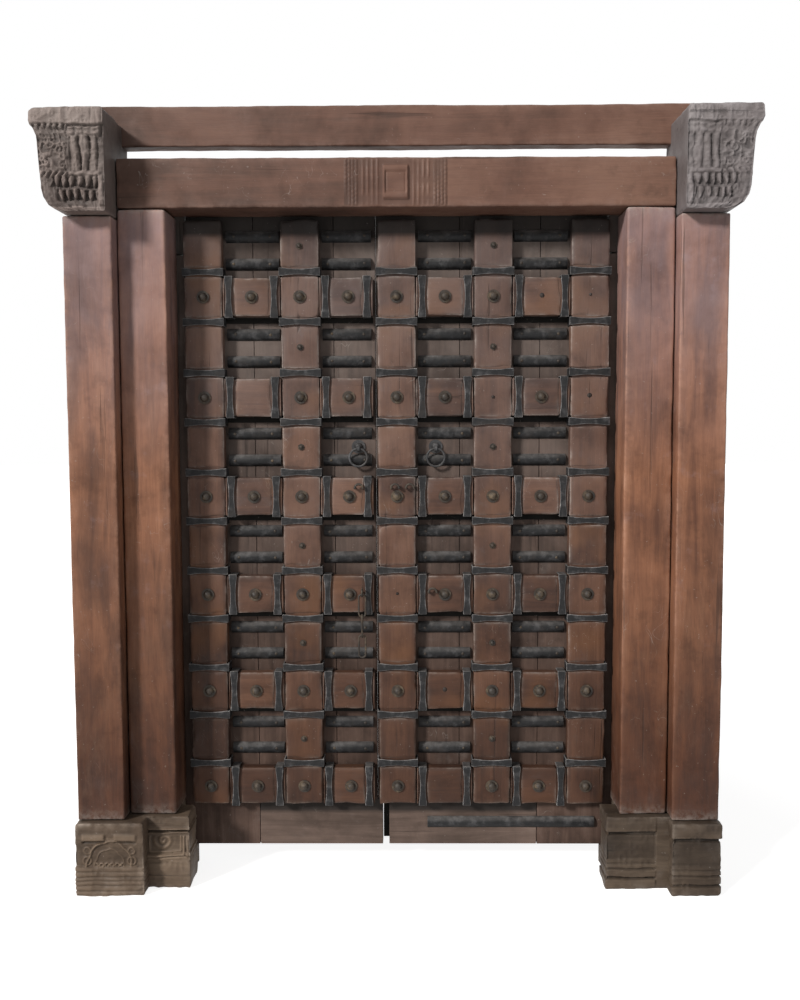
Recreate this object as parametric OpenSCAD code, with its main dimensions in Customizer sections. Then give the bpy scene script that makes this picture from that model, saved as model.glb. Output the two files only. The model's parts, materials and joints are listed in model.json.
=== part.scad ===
// Carved double-leaf door with its post-and-beam frame, all sizes in millimetres
// X to the right, Y away from the viewer, Z up; the frame stands on Z = 0

/* [Leaf grid] */
// Width of an upright batten
batten_w = 116; // [90:1:140]
// Distance between the centres of neighbouring battens
batten_pitch = 290; // [260:1:330]
// Height of a level rail
rail_h = 116; // [90:1:130]
// Distance between the centres of neighbouring rails
rail_pitch = 300; // [270:1:340]
// Thickness of battens and rails
member_t = 45; // [38:1:60]
// Thickness of the planks behind the grid
plank_t = 40; // [30:1:45]
// Thickness of the pivot stile
stile_t = 50; // [44:1:60]
// Bare plank foot below the lowest rail
foot_h = 144; // [120:1:170]
// Batten length above the top rail
head_h = 170; // [150:1:220]
// Gap between the grids of the two leaves
meeting_gap = 12; // [12:1:18]
// Gap between the planks of the two leaves
plank_gap = 1.25; // [1.25:0.25:3]
// Lap of the left leaf's foot under the cover batten
toe_lap = 22; // [10:1:30]
// Gap between the two leaves at the foot
foot_gap = 20; // [8:1:30]
// Seam between planks
seam = 2; // [1:0.5:4]

/* [Leaf in frame] */
// Gap between the outer battens and the posts
side_gap = 26; // [20:1:40]
// Gap between batten tops and lintel
head_gap = 12; // [6:1:20]
// How far the planks run up behind the lintel
plank_lap = 25; // [10:1:40]
// Height of the leaf above the floor
floor_gap = 70; // [60:1:110]
// Clearance between the planks and the back of the posts
leaf_clear = 3; // [2:0.5:6]
// Distance of the pivot axis behind the post's inner face
pivot_in = 15; // [10:1:20]
// Radius of a pintle
pintle_r = 20; // [14:1:20]
// Running clearance of a pintle in its socket
pintle_clear = 0.05; // [0.02:0.01:0.1]
// Depth of the socket in the base
socket_d = 44; // [30:1:60]
// Clearance between the stile's ends and the pivot blocks
pivot_gap = 5; // [3:1:8]
// Wall round a pivot bore
pivot_wall = 18; // [14:1:20]
// Height of a pivot block
pivot_block_h = 120; // [80:1:150]
// How far a pivot block runs up behind the lintel
pivot_rise = 15; // [10:1:25]

/* [Frame] */
// Width of every post
post_w = 142; // [120:1:170]
// Depth of an inner post and of the lintel
inner_post_d = 150; // [130:1:180]
// How far an outer post stands proud of the inner one
outer_proud = 50; // [30:1:70]
// Rounding of the post edges
post_round = 16; // [6:1:24]
// Height of the lower lintel
lintel_h = 144; // [120:1:180]
// Open gap between lintel and upper beam
beam_gap = 50; // [36:1:60]
// Height of the upper beam
beam_h = 120; // [100:1:150]
// Depth of the upper beam
beam_d = 60; // [50:1:64]
// How far the upper beam runs into a notch in each corbel
beam_in = 100; // [60:1:120]
// How far the upper beam sits behind the lintel's face
beam_set = 85; // [60:1:86]
// Side of the square tenons and tongues
tenon = 40; // [30:1:44]
// Length of the tenons and tongues
tenon_l = 40; // [25:1:44]
// Clearance of a tenon in its mortise
tenon_clear = 0.5; // [0.2:0.1:0.9]

/* [Base blocks] */
// Height of a base block
base_h = 222; // [200:1:260]
// How far a base block reaches into the doorway
base_reach = 44; // [30:1:48]
// How far a base block stands out beside the outer post
base_side = 7; // [4:1:20]
// How far the outer part stands proud of the outer post
base_proud = 25; // [16:1:40]
// How far the inner part stands proud of the inner post
base_inner_proud = 22; // [14:1:40]
// Width of the outer part of the left block
left_outer_w = 210; // [170:1:230]
// Width of the outer part of the right block
right_outer_w = 152; // [140:1:230]
// Depth of the carving on the bases
base_relief = 8; // [4:1:10]
// Height of the ridged foot of a base
ridge_h = 96; // [80:1:100]
// Height of the roll at the top of a base
roll_h = 30; // [24:1:40]

/* [Corbels] */
// Height of a corbel
corbel_h = 285; // [270:1:310]
// How far a corbel seats below the lintel
corbel_drop = 27; // [10:1:40]
// Projection of a corbel in front of the lintel
corbel_proud = 115; // [90:1:140]
// Width of the top slab of a corbel
slab_w = 212; // [202:1:240]
// Height of the top slab of a corbel
slab_h = 48; // [36:1:60]
// Width of a corbel at mid-height
corbel_w = 182; // [170:1:192]
// Radius of the rounded lower corner of a corbel
corbel_round = 62; // [40:1:66]
// Depth of the carving on a corbel
corbel_relief = 14; // [8:1:18]

/* [Iron] */
// Thickness of the straps
strap_t = 4; // [3:0.5:5]
// Width of a strap at its flared ends
strap_end_w = 24; // [20:1:28]
// Width of a strap at its waist
strap_waist = 16; // [12:1:18]
// Distance from a rail to the centre of a batten strap
batten_strap_off = 16; // [15:1:24]
// Distance from a batten to the centre of a rail strap
rail_strap_off = 19; // [18:1:28]
// Height of a recess strap
recess_strap_h = 36; // [28:1:40]
// Bulge of a recess strap
recess_strap_rise = 14; // [10:1:16]
// Distance between the two straps of a recess
recess_strap_pitch = 82; // [80:1:92]
// How far the foot strap starts beyond the cover batten
foot_strap_in = 34; // [20:1:60]
// How far the foot strap stops short of the leaf's edge
foot_strap_end = 24; // [15:1:60]
// Middle of the foot strap below the bottom of the grid
foot_strap_drop = 72; // [50:1:90]
// Washer radius of a large stud
stud_washer_r = 19; // [15:1:22]
// Dome radius of a large stud
stud_dome_r = 13; // [10:1:14]
// Dome radius of a small stud
small_dome_r = 7; // [5:0.5:9]
// Thickness of a stud's washer
washer_t = 2.5; // [1.5:0.5:4]
// Radius of a ring boss
boss_r = 21; // [16:1:21]
// From the cover batten's edge to the middle of each pull ring
pull_in = 60; // [45:1:80]
// Mean radius of a pull ring
ring_r = 27; // [22:1:30]
// Wire radius of a pull ring
ring_wire = 3.5; // [2.5:0.5:4]
// Mean radius of a staple
staple_r = 12; // [10:1:13]
// Wire radius of a staple
staple_wire = 3.5; // [2.5:0.5:4]
// Outer length of a chain link
link_l = 74; // [60:1:84]
// Outer width of a chain link
link_w = 26; // [22:1:28]
// Wire radius of a chain link
link_wire = 2.75; // [2:0.25:3]

/* [Hidden] */
$fn = 48;
rails = 6;
hair = 0.3;
dark_wood = "saddlebrown";
red_wood = "sienna";
grey_wood = "rosybrown";
iron = "darkslategray";

// Heights
rail_z0 = floor_gap + foot_h + rail_h / 2;
function rail_z(k) = rail_z0 + (k - 1) * rail_pitch;
grid_bottom = rail_z(1) - rail_h / 2;
grid_top = rail_z(rails) + rail_h / 2 + head_h;
lintel_z = grid_top + head_gap;
lintel_top = lintel_z + lintel_h;
beam_z = lintel_top + beam_gap;
beam_top = beam_z + beam_h;
corbel_z = lintel_z - corbel_drop;
corbel_top = corbel_z + corbel_h;
plank_top = lintel_z + plank_lap;
block_z1 = lintel_z + pivot_rise;
block_z0 = block_z1 - pivot_block_h;
stile_top = block_z0 - pivot_gap;
lug_top = floor_gap - pivot_gap;

// Places across the door
function col_x(i) = (i - 4) * batten_pitch / 2;
leaf_half = 2 * batten_pitch + batten_w / 2;
jamb_x = leaf_half + side_gap;
split_x = jamb_x + post_w;
frame_x = split_x + post_w;
axis_x = jamb_x + pivot_in;
cover_edge = -batten_w / 2;
left_edge = cover_edge - meeting_gap;
left_plank_edge = (left_edge + cover_edge - plank_gap) / 2;
right_plank_edge = left_plank_edge + plank_gap;
toe_x = left_edge + toe_lap;
foot_x = toe_x + foot_gap;

// Depths
plank_y = inner_post_d + leaf_clear;
face_y = plank_y - member_t;
axis_y = plank_y + stile_t / 2;
block_r = pintle_r + pivot_wall;
lug_r = block_r + 7;
base_front = -outer_proud - base_proud;
base_inner_front = -base_inner_proud;
toe_back = face_y - 10;
y_mid = (axis_y + lug_r - corbel_proud) / 2;

// Studs that are lost, as rail and column
lost_studs = [[6, 7], [6, 8], [5, 1], [5, 6], [5, 8], [3, 4], [2, 5], [1, 5]];
left_straps_x = [
    col_x(0) + batten_w / 2 + rail_strap_off,
    col_x(2) - batten_w / 2 - rail_strap_off,
    col_x(2) + batten_w / 2 + rail_strap_off,
    left_edge - rail_strap_off
];
right_straps_x = [
    col_x(4) + batten_w / 2 + rail_strap_off,
    col_x(6) - batten_w / 2 - rail_strap_off,
    col_x(6) + batten_w / 2 + rail_strap_off,
    col_x(8) - batten_w / 2 - rail_strap_off
];

// General helpers

function arc(cx, cy, r, a0, a1, n) =
    [for (i = [0 : n]) let (a = a0 + (a1 - a0) * i / n) [cx + r * cos(a), cy + r * sin(a)]];

module span(x0, x1, y0, y1, z0, z1) {
    translate([x0, y0, z0]) cube([x1 - x0, y1 - y0, z1 - z0]);
}

module side(s) {
    if (s < 0)
        mirror([1, 0, 0]) children();
    else
        children();
}

// Upright outline in X and Z, extruded from y0 back to y1
module upright(y0, y1) {
    translate([0, y1, 0]) rotate([90, 0, 0]) linear_extrude(y1 - y0) children();
}

module round_square(x0, x1, y0, y1, r) {
    translate([x0 + r, y0]) square([x1 - x0 - 2 * r, y1 - y0]);
    translate([x0, y0 + r]) square([x1 - x0, y1 - y0 - r]);
    for (x = [x0 + r, x1 - r])
        translate([x, y0 + r]) circle(r);
}

module bar_x(x0, x1, y, z, r) {
    translate([x0, y, z]) rotate([0, 90, 0]) cylinder(r = r, h = x1 - x0);
}

module bar_y(y0, y1, x, z, r) {
    translate([x, y0, z]) rotate([-90, 0, 0]) cylinder(r = r, h = y1 - y0);
}

module bar_z(z0, z1, x, y, r) {
    translate([x, y, z0]) cylinder(r = r, h = z1 - z0);
}

module torus(big, small) {
    rotate_extrude() translate([big, 0]) circle(small);
}

// Frame: posts

module tenon_at(x, y, z0, z1, grow) {
    half = tenon / 2 + grow;
    span(x - half, x + half, y - half, y + half, z0, z1);
}

inner_tenon_y = inner_post_d / 2;
outer_tenon_y = (inner_post_d - outer_proud) / 2;
inner_mid = jamb_x + post_w / 2;
outer_mid = split_x + post_w / 2;

module inner_post(s) {
    side(s) color(red_wood) {
        translate([0, 0, base_h]) linear_extrude(lintel_z - base_h)
            round_square(jamb_x, split_x, 0, inner_post_d, post_round);
        tenon_at(inner_mid, inner_tenon_y, base_h - tenon_l, base_h, 0);
        tenon_at(inner_mid, inner_tenon_y, lintel_z, lintel_z + tenon_l, 0);
    }
}

module outer_post(s) {
    side(s) color(red_wood) {
        translate([0, 0, base_h]) linear_extrude(corbel_z - base_h)
            round_square(split_x, frame_x, -outer_proud, inner_post_d, post_round / 2);
        tenon_at(outer_mid, outer_tenon_y, base_h - tenon_l, base_h, 0);
        tenon_at(outer_mid, outer_tenon_y, corbel_z, corbel_z + tenon_l, 0);
    }
}

// Frame: carved base blocks

module base_plan(outer_w, inset) {
    x_in = jamb_x - base_reach + inset;
    x_out = frame_x + base_side - inset;
    x_step = frame_x + base_side - outer_w + inset;
    polygon([
        [x_out, inner_post_d], [x_out, base_front + inset], [x_step, base_front + inset],
        [x_step, base_inner_front + inset], [x_in, base_inner_front + inset],
        [x_in, toe_back], [jamb_x, toe_back], [jamb_x, inner_post_d]
    ]);
}

module base_layer(outer_w, inset, z0, z1) {
    translate([0, 0, z0]) linear_extrude(z1 - z0) base_plan(outer_w, inset);
}

// Arch of lotus petals on a panel, centred on x and standing on z
module lotus_arch(x, z, r, y0, y1) {
    rib = r / 6;
    translate([x, 0, z]) upright(y0, y1) difference() {
        intersection() {
            difference() {
                circle(r);
                circle(r - rib);
            }
            translate([-r, 0]) square([2 * r, r]);
        }
    }
    for (a = [30 : 30 : 150])
        translate([x + (r - 2 * rib) * cos(a), 0, z + (r - 2 * rib) * sin(a)])
            upright(y0 + hair, y1) circle(rib * 0.9);
    for (i = [-2 : 2])
        translate([x + i * r / 2.5, 0, z]) upright(y0 + hair, y1) circle(rib);
}

// Scrolled leaf on a panel
module scroll(x, z, r, y0, y1) {
    translate([x, 0, z]) upright(y0, y1) difference() {
        circle(r);
        circle(r * 0.72);
        translate([0, -r * 0.28]) square([r, r * 0.56]);
    }
    translate([x, 0, z]) upright(y0 + hair, y1) circle(r * 0.4);
}

module base(s, outer_w) {
    ridge_step = ridge_h / 5;
    panel_z1 = base_h - roll_h - base_relief;
    x_in = jamb_x - base_reach;
    x_out = frame_x + base_side;
    x_step = x_out - outer_w;
    panel_h = panel_z1 - ridge_h;
    strip = 16;
    roll_r = roll_h / 2;
    roll_z = base_h - roll_r;
    side(s) color(grey_wood) difference() {
        union() {
            for (i = [0 : 4]) {
                base_layer(outer_w, 0, i * ridge_step, (i + 0.6) * ridge_step);
                base_layer(outer_w, base_relief / 2, (i + 0.6) * ridge_step, (i + 1) * ridge_step);
            }
            base_layer(outer_w, base_relief, ridge_h, base_h - roll_h);
            base_layer(outer_w, roll_r, base_h - roll_h, base_h);
            // Roll round the top
            bar_x(x_step + roll_r, x_out - roll_r, base_front + roll_r, roll_z, roll_r);
            bar_x(x_in + roll_r, x_step + roll_r, base_inner_front + roll_r, roll_z, roll_r);
            bar_y(base_inner_front + roll_r, toe_back, x_in + roll_r, roll_z, roll_r);
            bar_y(base_front + roll_r, inner_post_d, x_out - roll_r, roll_z, roll_r);
            for (p = [[x_in, base_inner_front], [x_step, base_front]])
                translate([p[0] + roll_r, p[1] + roll_r, roll_z]) sphere(roll_r);
            translate([x_out - roll_r, base_front + roll_r, roll_z]) sphere(roll_r);
            // Carved panels with a plain strip at each end
            for (x = [x_step, x_out - strip])
                span(x, x + strip, base_front, base_front + 2 * base_relief, ridge_h, panel_z1);
            for (x = [x_in, x_step - strip])
                span(x, x + strip, base_inner_front, base_inner_front + 2 * base_relief,
                    ridge_h, panel_z1);
            lotus_arch((x_step + x_out) / 2, ridge_h, panel_h * 0.86,
                base_front + hair, base_front + 2 * base_relief);
            scroll((x_in + x_step) / 2, ridge_h + panel_h / 2, panel_h * 0.42,
                base_inner_front + hair, base_inner_front + 2 * base_relief);
            // Lug that carries the lower socket
            span(axis_x - lug_r, axis_x + lug_r, toe_back - lug_r, axis_y, 0, lug_top);
            bar_z(0, lug_top, axis_x, axis_y, lug_r);
        }
        bar_z(lug_top - socket_d, lug_top + 1, axis_x, axis_y, pintle_r + pintle_clear);
        tenon_at(inner_mid, inner_tenon_y, base_h - tenon_l - 1, base_h + 1, tenon_clear);
        tenon_at(outer_mid, outer_tenon_y, base_h - tenon_l - 1, base_h + 1, tenon_clear);
    }
}

// Frame: lintel and beam

lintel_tongue_z = lintel_z + lintel_h / 2;

module tongue_at(y, z, grow) {
    half = tenon / 2 + grow;
    reach = split_x + tenon_l + grow;
    span(-reach, reach, y - half, y + half, z - half, z + half);
}

module lower_lintel() {
    reed_r = 5;
    square_w = 72;
    square_h = 94;
    lip = 5;
    proud = 8;
    half_w = 148;
    fillet_w = 6;
    function fillet_x(i) = square_w / 2 + 2 + i * (half_w - 8 * reed_r - square_w / 2 - 2) / 5;
    color(red_wood) difference() {
        union() {
            span(-split_x, split_x, 0, inner_post_d, lintel_z, lintel_top);
            tongue_at(inner_post_d / 2, lintel_tongue_z, 0);
            // Reeded pilasters at both ends of the carved panel
            for (s = [-1, 1]) {
                for (i = [0 : 3])
                    bar_z(lintel_z + lip, lintel_top - lip, s * (half_w - (2 * i + 1) * reed_r), 0, reed_r);
                for (i = [1 : 4])
                    span(s * fillet_x(i) - fillet_w / 2, s * fillet_x(i) + fillet_w / 2, -proud / 2, hair,
                        lintel_z + lip, lintel_top - lip);
            }
            span(-square_w / 2, square_w / 2, -proud, hair,
                lintel_tongue_z - square_h / 2, lintel_tongue_z + square_h / 2);
        }
        span(-square_w / 2 + lip, square_w / 2 - lip, -proud - 1, -proud / 2,
            lintel_tongue_z - square_w / 2 + lip, lintel_tongue_z + square_w / 2 - lip);
        for (s = [-1, 1])
            tenon_at(s * inner_mid, inner_tenon_y, lintel_z - 1, lintel_z + tenon_l + 1, tenon_clear);
    }
}

module upper_beam() {
    reach = split_x + beam_in;
    color(red_wood) span(-reach, reach, beam_set, beam_set + beam_d, beam_z, beam_top);
}

// Frame: carved corbels

module corbel_outline() {
    foot = split_x + corbel_w - corbel_round;
    slab_z = corbel_top - slab_h;
    slab_x = split_x + slab_w;
    cove = slab_w - corbel_w - 10;
    polygon(concat(
        [[split_x, corbel_z]],
        arc(foot, corbel_z + corbel_round, corbel_round, -90, 0, 8),
        [[foot + corbel_round + 10, slab_z - cove]],
        [[slab_x - 10, slab_z - 6], [slab_x, slab_z], [slab_x, corbel_top], [split_x, corbel_top]]
    ));
}

// Hanging leaf tooth, a solid of revolution half sunk in the face
module drop_tooth(x, y, z, r, h) {
    translate([x, y, z]) rotate_extrude()
        polygon([[0, 0], [r * 0.55, h * 0.16], [r, h * 0.5], [r * 0.85, h * 0.84], [0, h]]);
}

module corbel(s) {
    front = -corbel_proud + corbel_relief;
    mid_x = split_x + corbel_w;
    tooth_r = 11;
    tooth_h = 44;
    tooth_z = corbel_z + 14;
    row_step = tooth_h + 3;
    row_w = corbel_w - corbel_round + 34;
    flute_r = 12;
    flute_x = split_x + 20;
    flute_z0 = tooth_z + 2 * row_step + 4;
    flute_z1 = corbel_top - slab_h - 30;
    cap_w = 6.4 * flute_r;
    scroll_r = 30;
    dentil_w = 10;
    leaf_x0 = flute_x + cap_w + 8;
    side(s) color(grey_wood) difference() {
        union() {
            upright(front, inner_post_d) corbel_outline();
            // Top slab and its row of small teeth
            span(split_x, split_x + slab_w - 4, -corbel_proud, 0, corbel_top - slab_h, corbel_top);
            for (x = [leaf_x0 : 1.7 * dentil_w : split_x + slab_w - 3 * dentil_w])
                span(x, x + dentil_w, -corbel_proud + 3, 0,
                    corbel_top - slab_h - dentil_w, corbel_top - slab_h);
            // Block capital over the upright reeds
            span(flute_x - 6, flute_x + cap_w - 2, -corbel_proud, 0, flute_z1, flute_z1 + 26);
            span(flute_x - 6, flute_x + cap_w - 2, -corbel_proud, 0, flute_z0 - 12, flute_z0);
            for (i = [0 : 2])
                bar_z(flute_z0, flute_z1, flute_x + flute_r + i * 2.1 * flute_r, front, flute_r);
            // Scrolled leaves on the outer part
            for (p = [[0.3, 0.62], [0.72, 0.3], [0.86, 0.76]])
                scroll(leaf_x0 + p[0] * (mid_x - leaf_x0 - 20),
                    flute_z0 + 4 + p[1] * (flute_z1 - flute_z0), scroll_r * 0.62,
                    -corbel_proud + 2, 0);
            // Two rows of hanging teeth
            for (row = [0, 1])
                for (i = [0 : 5])
                    drop_tooth(split_x + 30 + row * 6 + i * row_w / 6.4, front,
                        tooth_z + row * row_step, tooth_r, tooth_h);
            // Roll along the bottom
            bar_x(split_x, split_x + corbel_w - corbel_round, front, corbel_z + 9, 9);
        }
        span(split_x - 1, split_x + beam_in + tenon_clear, beam_set - tenon_clear, inner_post_d + 1,
            beam_z, corbel_top + 1);
        tongue_at(inner_post_d / 2, lintel_tongue_z, tenon_clear);
        tenon_at(outer_mid, outer_tenon_y, corbel_z - 1, corbel_z + tenon_l + 1, tenon_clear);
    }
}

// Block behind the post's head, round at the back and flat against the post
module pivot_block(s) {
    side(s) color("dimgray") difference() {
        translate([0, 0, block_z0]) linear_extrude(pivot_block_h) intersection() {
            union() {
                translate([axis_x, axis_y]) circle(block_r);
                translate([axis_x - block_r, inner_post_d])
                    square([2 * block_r, axis_y - inner_post_d]);
            }
            translate([axis_x - 2 * block_r, inner_post_d]) square(4 * block_r);
        }
        bar_z(block_z0 - 1, block_z1 + 1, axis_x, axis_y, pintle_r + pintle_clear);
    }
}

// Leaves: planks

seam_1 = batten_pitch * 1.5;
seam_2 = batten_pitch * 0.66;
notch_x = axis_x - block_r - pivot_gap;

// Outer plank, with its round pivot edge and both pintles
module stile_plank(s) {
    side(s) color(dark_wood) {
        translate([0, 0, floor_gap]) linear_extrude(stile_top - floor_gap) {
            translate([axis_x, axis_y]) circle(stile_t / 2);
            translate([seam_1 + seam / 2, plank_y]) square([axis_x - seam_1 - seam / 2, stile_t]);
        }
        span(seam_1 + seam / 2, notch_x, plank_y, plank_y + stile_t, stile_top, plank_top);
        bar_z(lug_top - socket_d + hair, floor_gap, axis_x, axis_y, pintle_r);
        bar_z(stile_top, block_z1 - hair, axis_x, axis_y, pintle_r);
    }
}

module middle_plank(s) {
    side(s) color(dark_wood)
        span(seam_2 + seam / 2, seam_1 - seam / 2, plank_y, plank_y + plank_t, grid_bottom, plank_top);
}

module left_meeting_plank() {
    color(dark_wood)
        span(-seam_2 + seam / 2, left_plank_edge, plank_y, plank_y + plank_t, grid_bottom, plank_top);
}

// Its foot clears the toe of the left leaf, which reaches under it
module right_meeting_plank() {
    color(dark_wood)
        span(right_plank_edge, seam_2 - seam / 2, plank_y, plank_y + plank_t,
            grid_bottom + pivot_gap, plank_top);
}

// Level board under the planks, from the stile to the meeting joint
module left_foot_board() {
    color(dark_wood)
        span(-seam_1 + seam / 2, toe_x, plank_y, plank_y + plank_t, floor_gap, grid_bottom);
}

module right_foot_board() {
    color(dark_wood)
        span(foot_x, seam_1 - seam / 2, plank_y, plank_y + plank_t, floor_gap, grid_bottom);
}

// Leaves: half-lapped grid

lap_clear = 0.3;

module batten(i) {
    x = col_x(i);
    color(red_wood) difference() {
        span(x - batten_w / 2, x + batten_w / 2, face_y, plank_y, grid_bottom, grid_top);
        for (k = [1 : rails])
            span(x - batten_w, x + batten_w, face_y + member_t / 2, plank_y + 1,
                rail_z(k) - rail_h / 2 - lap_clear, rail_z(k) + rail_h / 2 + lap_clear);
    }
}

module rail(k, x0, x1, columns) {
    color(red_wood) difference() {
        span(x0, x1, face_y, plank_y, rail_z(k) - rail_h / 2, rail_z(k) + rail_h / 2);
        for (i = columns)
            span(col_x(i) - batten_w / 2 - lap_clear, col_x(i) + batten_w / 2 + lap_clear,
                face_y - 1, face_y + member_t / 2, rail_z(k) - rail_h, rail_z(k) + rail_h);
    }
}

module left_rail(k) {
    rail(k, -leaf_half, left_edge, [0, 2]);
}

module right_rail(k) {
    rail(k, cover_edge, leaf_half, [4, 6, 8]);
}

// Leaves: iron straps

// Flat strap of length l with flared ends and a narrow waist
module strap_outline(l) {
    dip = (strap_end_w - strap_waist) / 2;
    chord = l - strap_end_w;
    r = (chord * chord / 4 + dip * dip) / (2 * dip);
    difference() {
        translate([-l / 2, -strap_end_w / 2]) square([l, strap_end_w]);
        for (s = [-1, 1])
            translate([0, s * (strap_waist / 2 + r)]) circle(r, $fn = 96);
    }
}

// Strap folded over a member of width w, lying along X and centred on the origin
module folded_strap(w) {
    upright(-strap_t, 0) strap_outline(w + 2 * strap_t);
    for (s = [-1, 1])
        translate([s * (w + strap_t) / 2 - strap_t / 2, 0, -strap_end_w / 2])
            cube([strap_t, member_t, strap_end_w]);
}

module batten_straps(columns) {
    color(iron)
        for (i = columns)
            for (k = [1 : rails])
                for (s = k == 1 ? [1] : [-1, 1])
                    translate([col_x(i), face_y, rail_z(k) + s * (rail_h / 2 + batten_strap_off)])
                        folded_strap(batten_w);
}

module rail_straps(xs) {
    color(iron)
        for (x = xs)
            for (k = [1 : rails])
                translate([x, face_y, rail_z(k)]) rotate([0, 90, 0]) folded_strap(rail_h);
}

// Convex bar across a recess between two battens
module recess_strap(x0, x1, z) {
    bar_r = (recess_strap_h * recess_strap_h / 4 + recess_strap_rise * recess_strap_rise)
        / (2 * recess_strap_rise);
    translate([x0, plank_y, z]) rotate([90, 0, 90]) linear_extrude(x1 - x0) intersection() {
        translate([bar_r - recess_strap_rise, 0]) circle(bar_r, $fn = 96);
        translate([-recess_strap_rise, -recess_strap_h / 2])
            square([recess_strap_rise, recess_strap_h]);
    }
}

recess_end = strap_t + 3;

module recess_straps(cells) {
    color(iron)
        for (c = cells)
            for (k = [1 : rails]) {
                top = k == rails ? grid_top : rail_z(k + 1) - rail_h / 2;
                middle = (rail_z(k) + rail_h / 2 + top) / 2;
                for (s = [-1, 1])
                    recess_strap(c[0] + recess_end, c[1] - recess_end, middle + s * recess_strap_pitch / 2);
            }
}

module left_recess_straps() {
    recess_straps([
        [col_x(0) + batten_w / 2, col_x(2) - batten_w / 2],
        [col_x(2) + batten_w / 2, left_edge]
    ]);
}

module right_recess_straps() {
    recess_straps([
        [col_x(4) + batten_w / 2, col_x(6) - batten_w / 2],
        [col_x(6) + batten_w / 2, col_x(8) - batten_w / 2]
    ]);
}

module right_foot_strap() {
    color(iron)
        recess_strap(col_x(4) + batten_w / 2 + foot_strap_in, leaf_half - foot_strap_end,
            grid_bottom - foot_strap_drop);
}

// Leaves: studs

// Domed nail head on a washer, standing out of the face
module stud(washer_r, dome_r, plate_t) {
    rotate([90, 0, 0]) rotate_extrude() {
        square([washer_r, plate_t]);
        intersection() {
            translate([0, plate_t]) circle(dome_r);
            square([dome_r, plate_t + dome_r]);
        }
    }
}

module large_studs(columns) {
    color(iron)
        for (i = columns)
            for (k = [1 : rails])
                if (len([for (p = lost_studs) if (p == [k, i]) p]) == 0)
                    translate([col_x(i), face_y, rail_z(k)])
                        stud(stud_washer_r, stud_dome_r, washer_t);
}

module small_studs(column) {
    color(iron)
        for (k = [1 : rails])
            translate([col_x(column), face_y, rail_z(k) + rail_pitch / 2])
                stud(small_dome_r + washer_t, small_dome_r, washer_t * 0.6);
}

// Leaves: pull rings

pull_x = batten_w / 2 + pull_in;
boss_z = rail_z(4) + rail_pitch / 2;
ring_hinge_y = plank_y - recess_strap_rise - ring_wire - 4.5;
ring_hinge_z = boss_z - 6;
lug_t = 8;
eye_r = ring_wire + 5.5;

module ring_boss(s) {
    color(iron) difference() {
        union() {
            translate([s * pull_x, plank_y, boss_z]) stud(boss_r, boss_r * 0.6, 4);
            bar_x(s * pull_x - lug_t / 2, s * pull_x + lug_t / 2, ring_hinge_y, ring_hinge_z, eye_r);
            span(s * pull_x - lug_t / 2, s * pull_x + lug_t / 2, ring_hinge_y, plank_y,
                ring_hinge_z - eye_r, ring_hinge_z + eye_r);
        }
        bar_x(s * pull_x - boss_r, s * pull_x + boss_r, ring_hinge_y, ring_hinge_z, ring_wire + 1);
    }
}

module pull_ring(s) {
    color(iron) translate([s * pull_x, ring_hinge_y, ring_hinge_z - ring_r])
        rotate([90, 0, 0]) torus(ring_r, ring_wire);
}

// Leaves: staples and chain

// Arched loop that stands off the face on two legs
module staple(x, z) {
    stand_off = 4 * staple_wire;
    translate([x, face_y - stand_off, z]) rotate([90, 0, 0])
        rotate_extrude(angle = 180) translate([staple_r, 0]) circle(staple_wire);
    for (s = [-1, 1]) {
        translate([x + s * staple_r, face_y - stand_off, z]) sphere(staple_wire);
        bar_y(face_y - stand_off, face_y, x + s * staple_r, z, staple_wire);
    }
}

lock_z = rail_z(4) + stud_washer_r + 2 * staple_wire;

module left_lock_staple() {
    color(iron) staple(left_edge - 2.4 * rail_strap_off, lock_z);
}

module right_lock_staples() {
    color(iron)
        for (x = [-staple_r / 2, batten_w / 2 - staple_r - 2 * staple_wire])
            staple(x, lock_z);
}

module right_low_staple() {
    strap_side = col_x(4) + batten_w / 2 + rail_strap_off + strap_end_w / 2;
    stud_side = col_x(5) - stud_washer_r;
    color(iron) staple((strap_side + stud_side) / 2, rail_z(3) + 8);
}

chain_x = left_edge - 1.95 * rail_strap_off;
eye_ring = 11;
eye_wire = 3;
eye_shank = 6;
chain_y = face_y - eye_shank - eye_ring - eye_wire;
eye_z = rail_z(3) + 8;
link_top = eye_z - eye_ring + eye_wire + link_wire + hair;
link_drop = link_l - 2 * link_wire;
link_pitch = link_drop - 2 * link_wire - hair;

module chain_eye() {
    color(iron) {
        translate([chain_x, chain_y, eye_z]) rotate([0, 90, 0]) torus(eye_ring, eye_wire);
        bar_y(chain_y + eye_ring, face_y, chain_x, eye_z, eye_wire);
    }
}

// Long oval link; its top wire is centred on the origin and it hangs in the XZ plane
module oval_link() {
    bend = link_w / 2 - link_wire;
    straight = link_drop - 2 * bend;
    for (s = [-1, 1]) {
        bar_z(-bend - straight, -bend, s * bend, 0, link_wire);
        translate([0, 0, s > 0 ? -bend : -bend - straight]) rotate([90, 0, 0])
            rotate([0, 0, s > 0 ? 0 : 180])
                rotate_extrude(angle = 180) translate([bend, 0]) circle(link_wire);
    }
}

module chain_link(n) {
    color(iron) translate([chain_x, chain_y, link_top - (n - 1) * link_pitch])
        rotate([0, 0, n == 2 ? 90 : 0]) oval_link();
}

// Node placement, with the box of the whole door centred on the origin in Y

module place() {
    translate([0, -y_mid, 0]) children();
}

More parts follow.
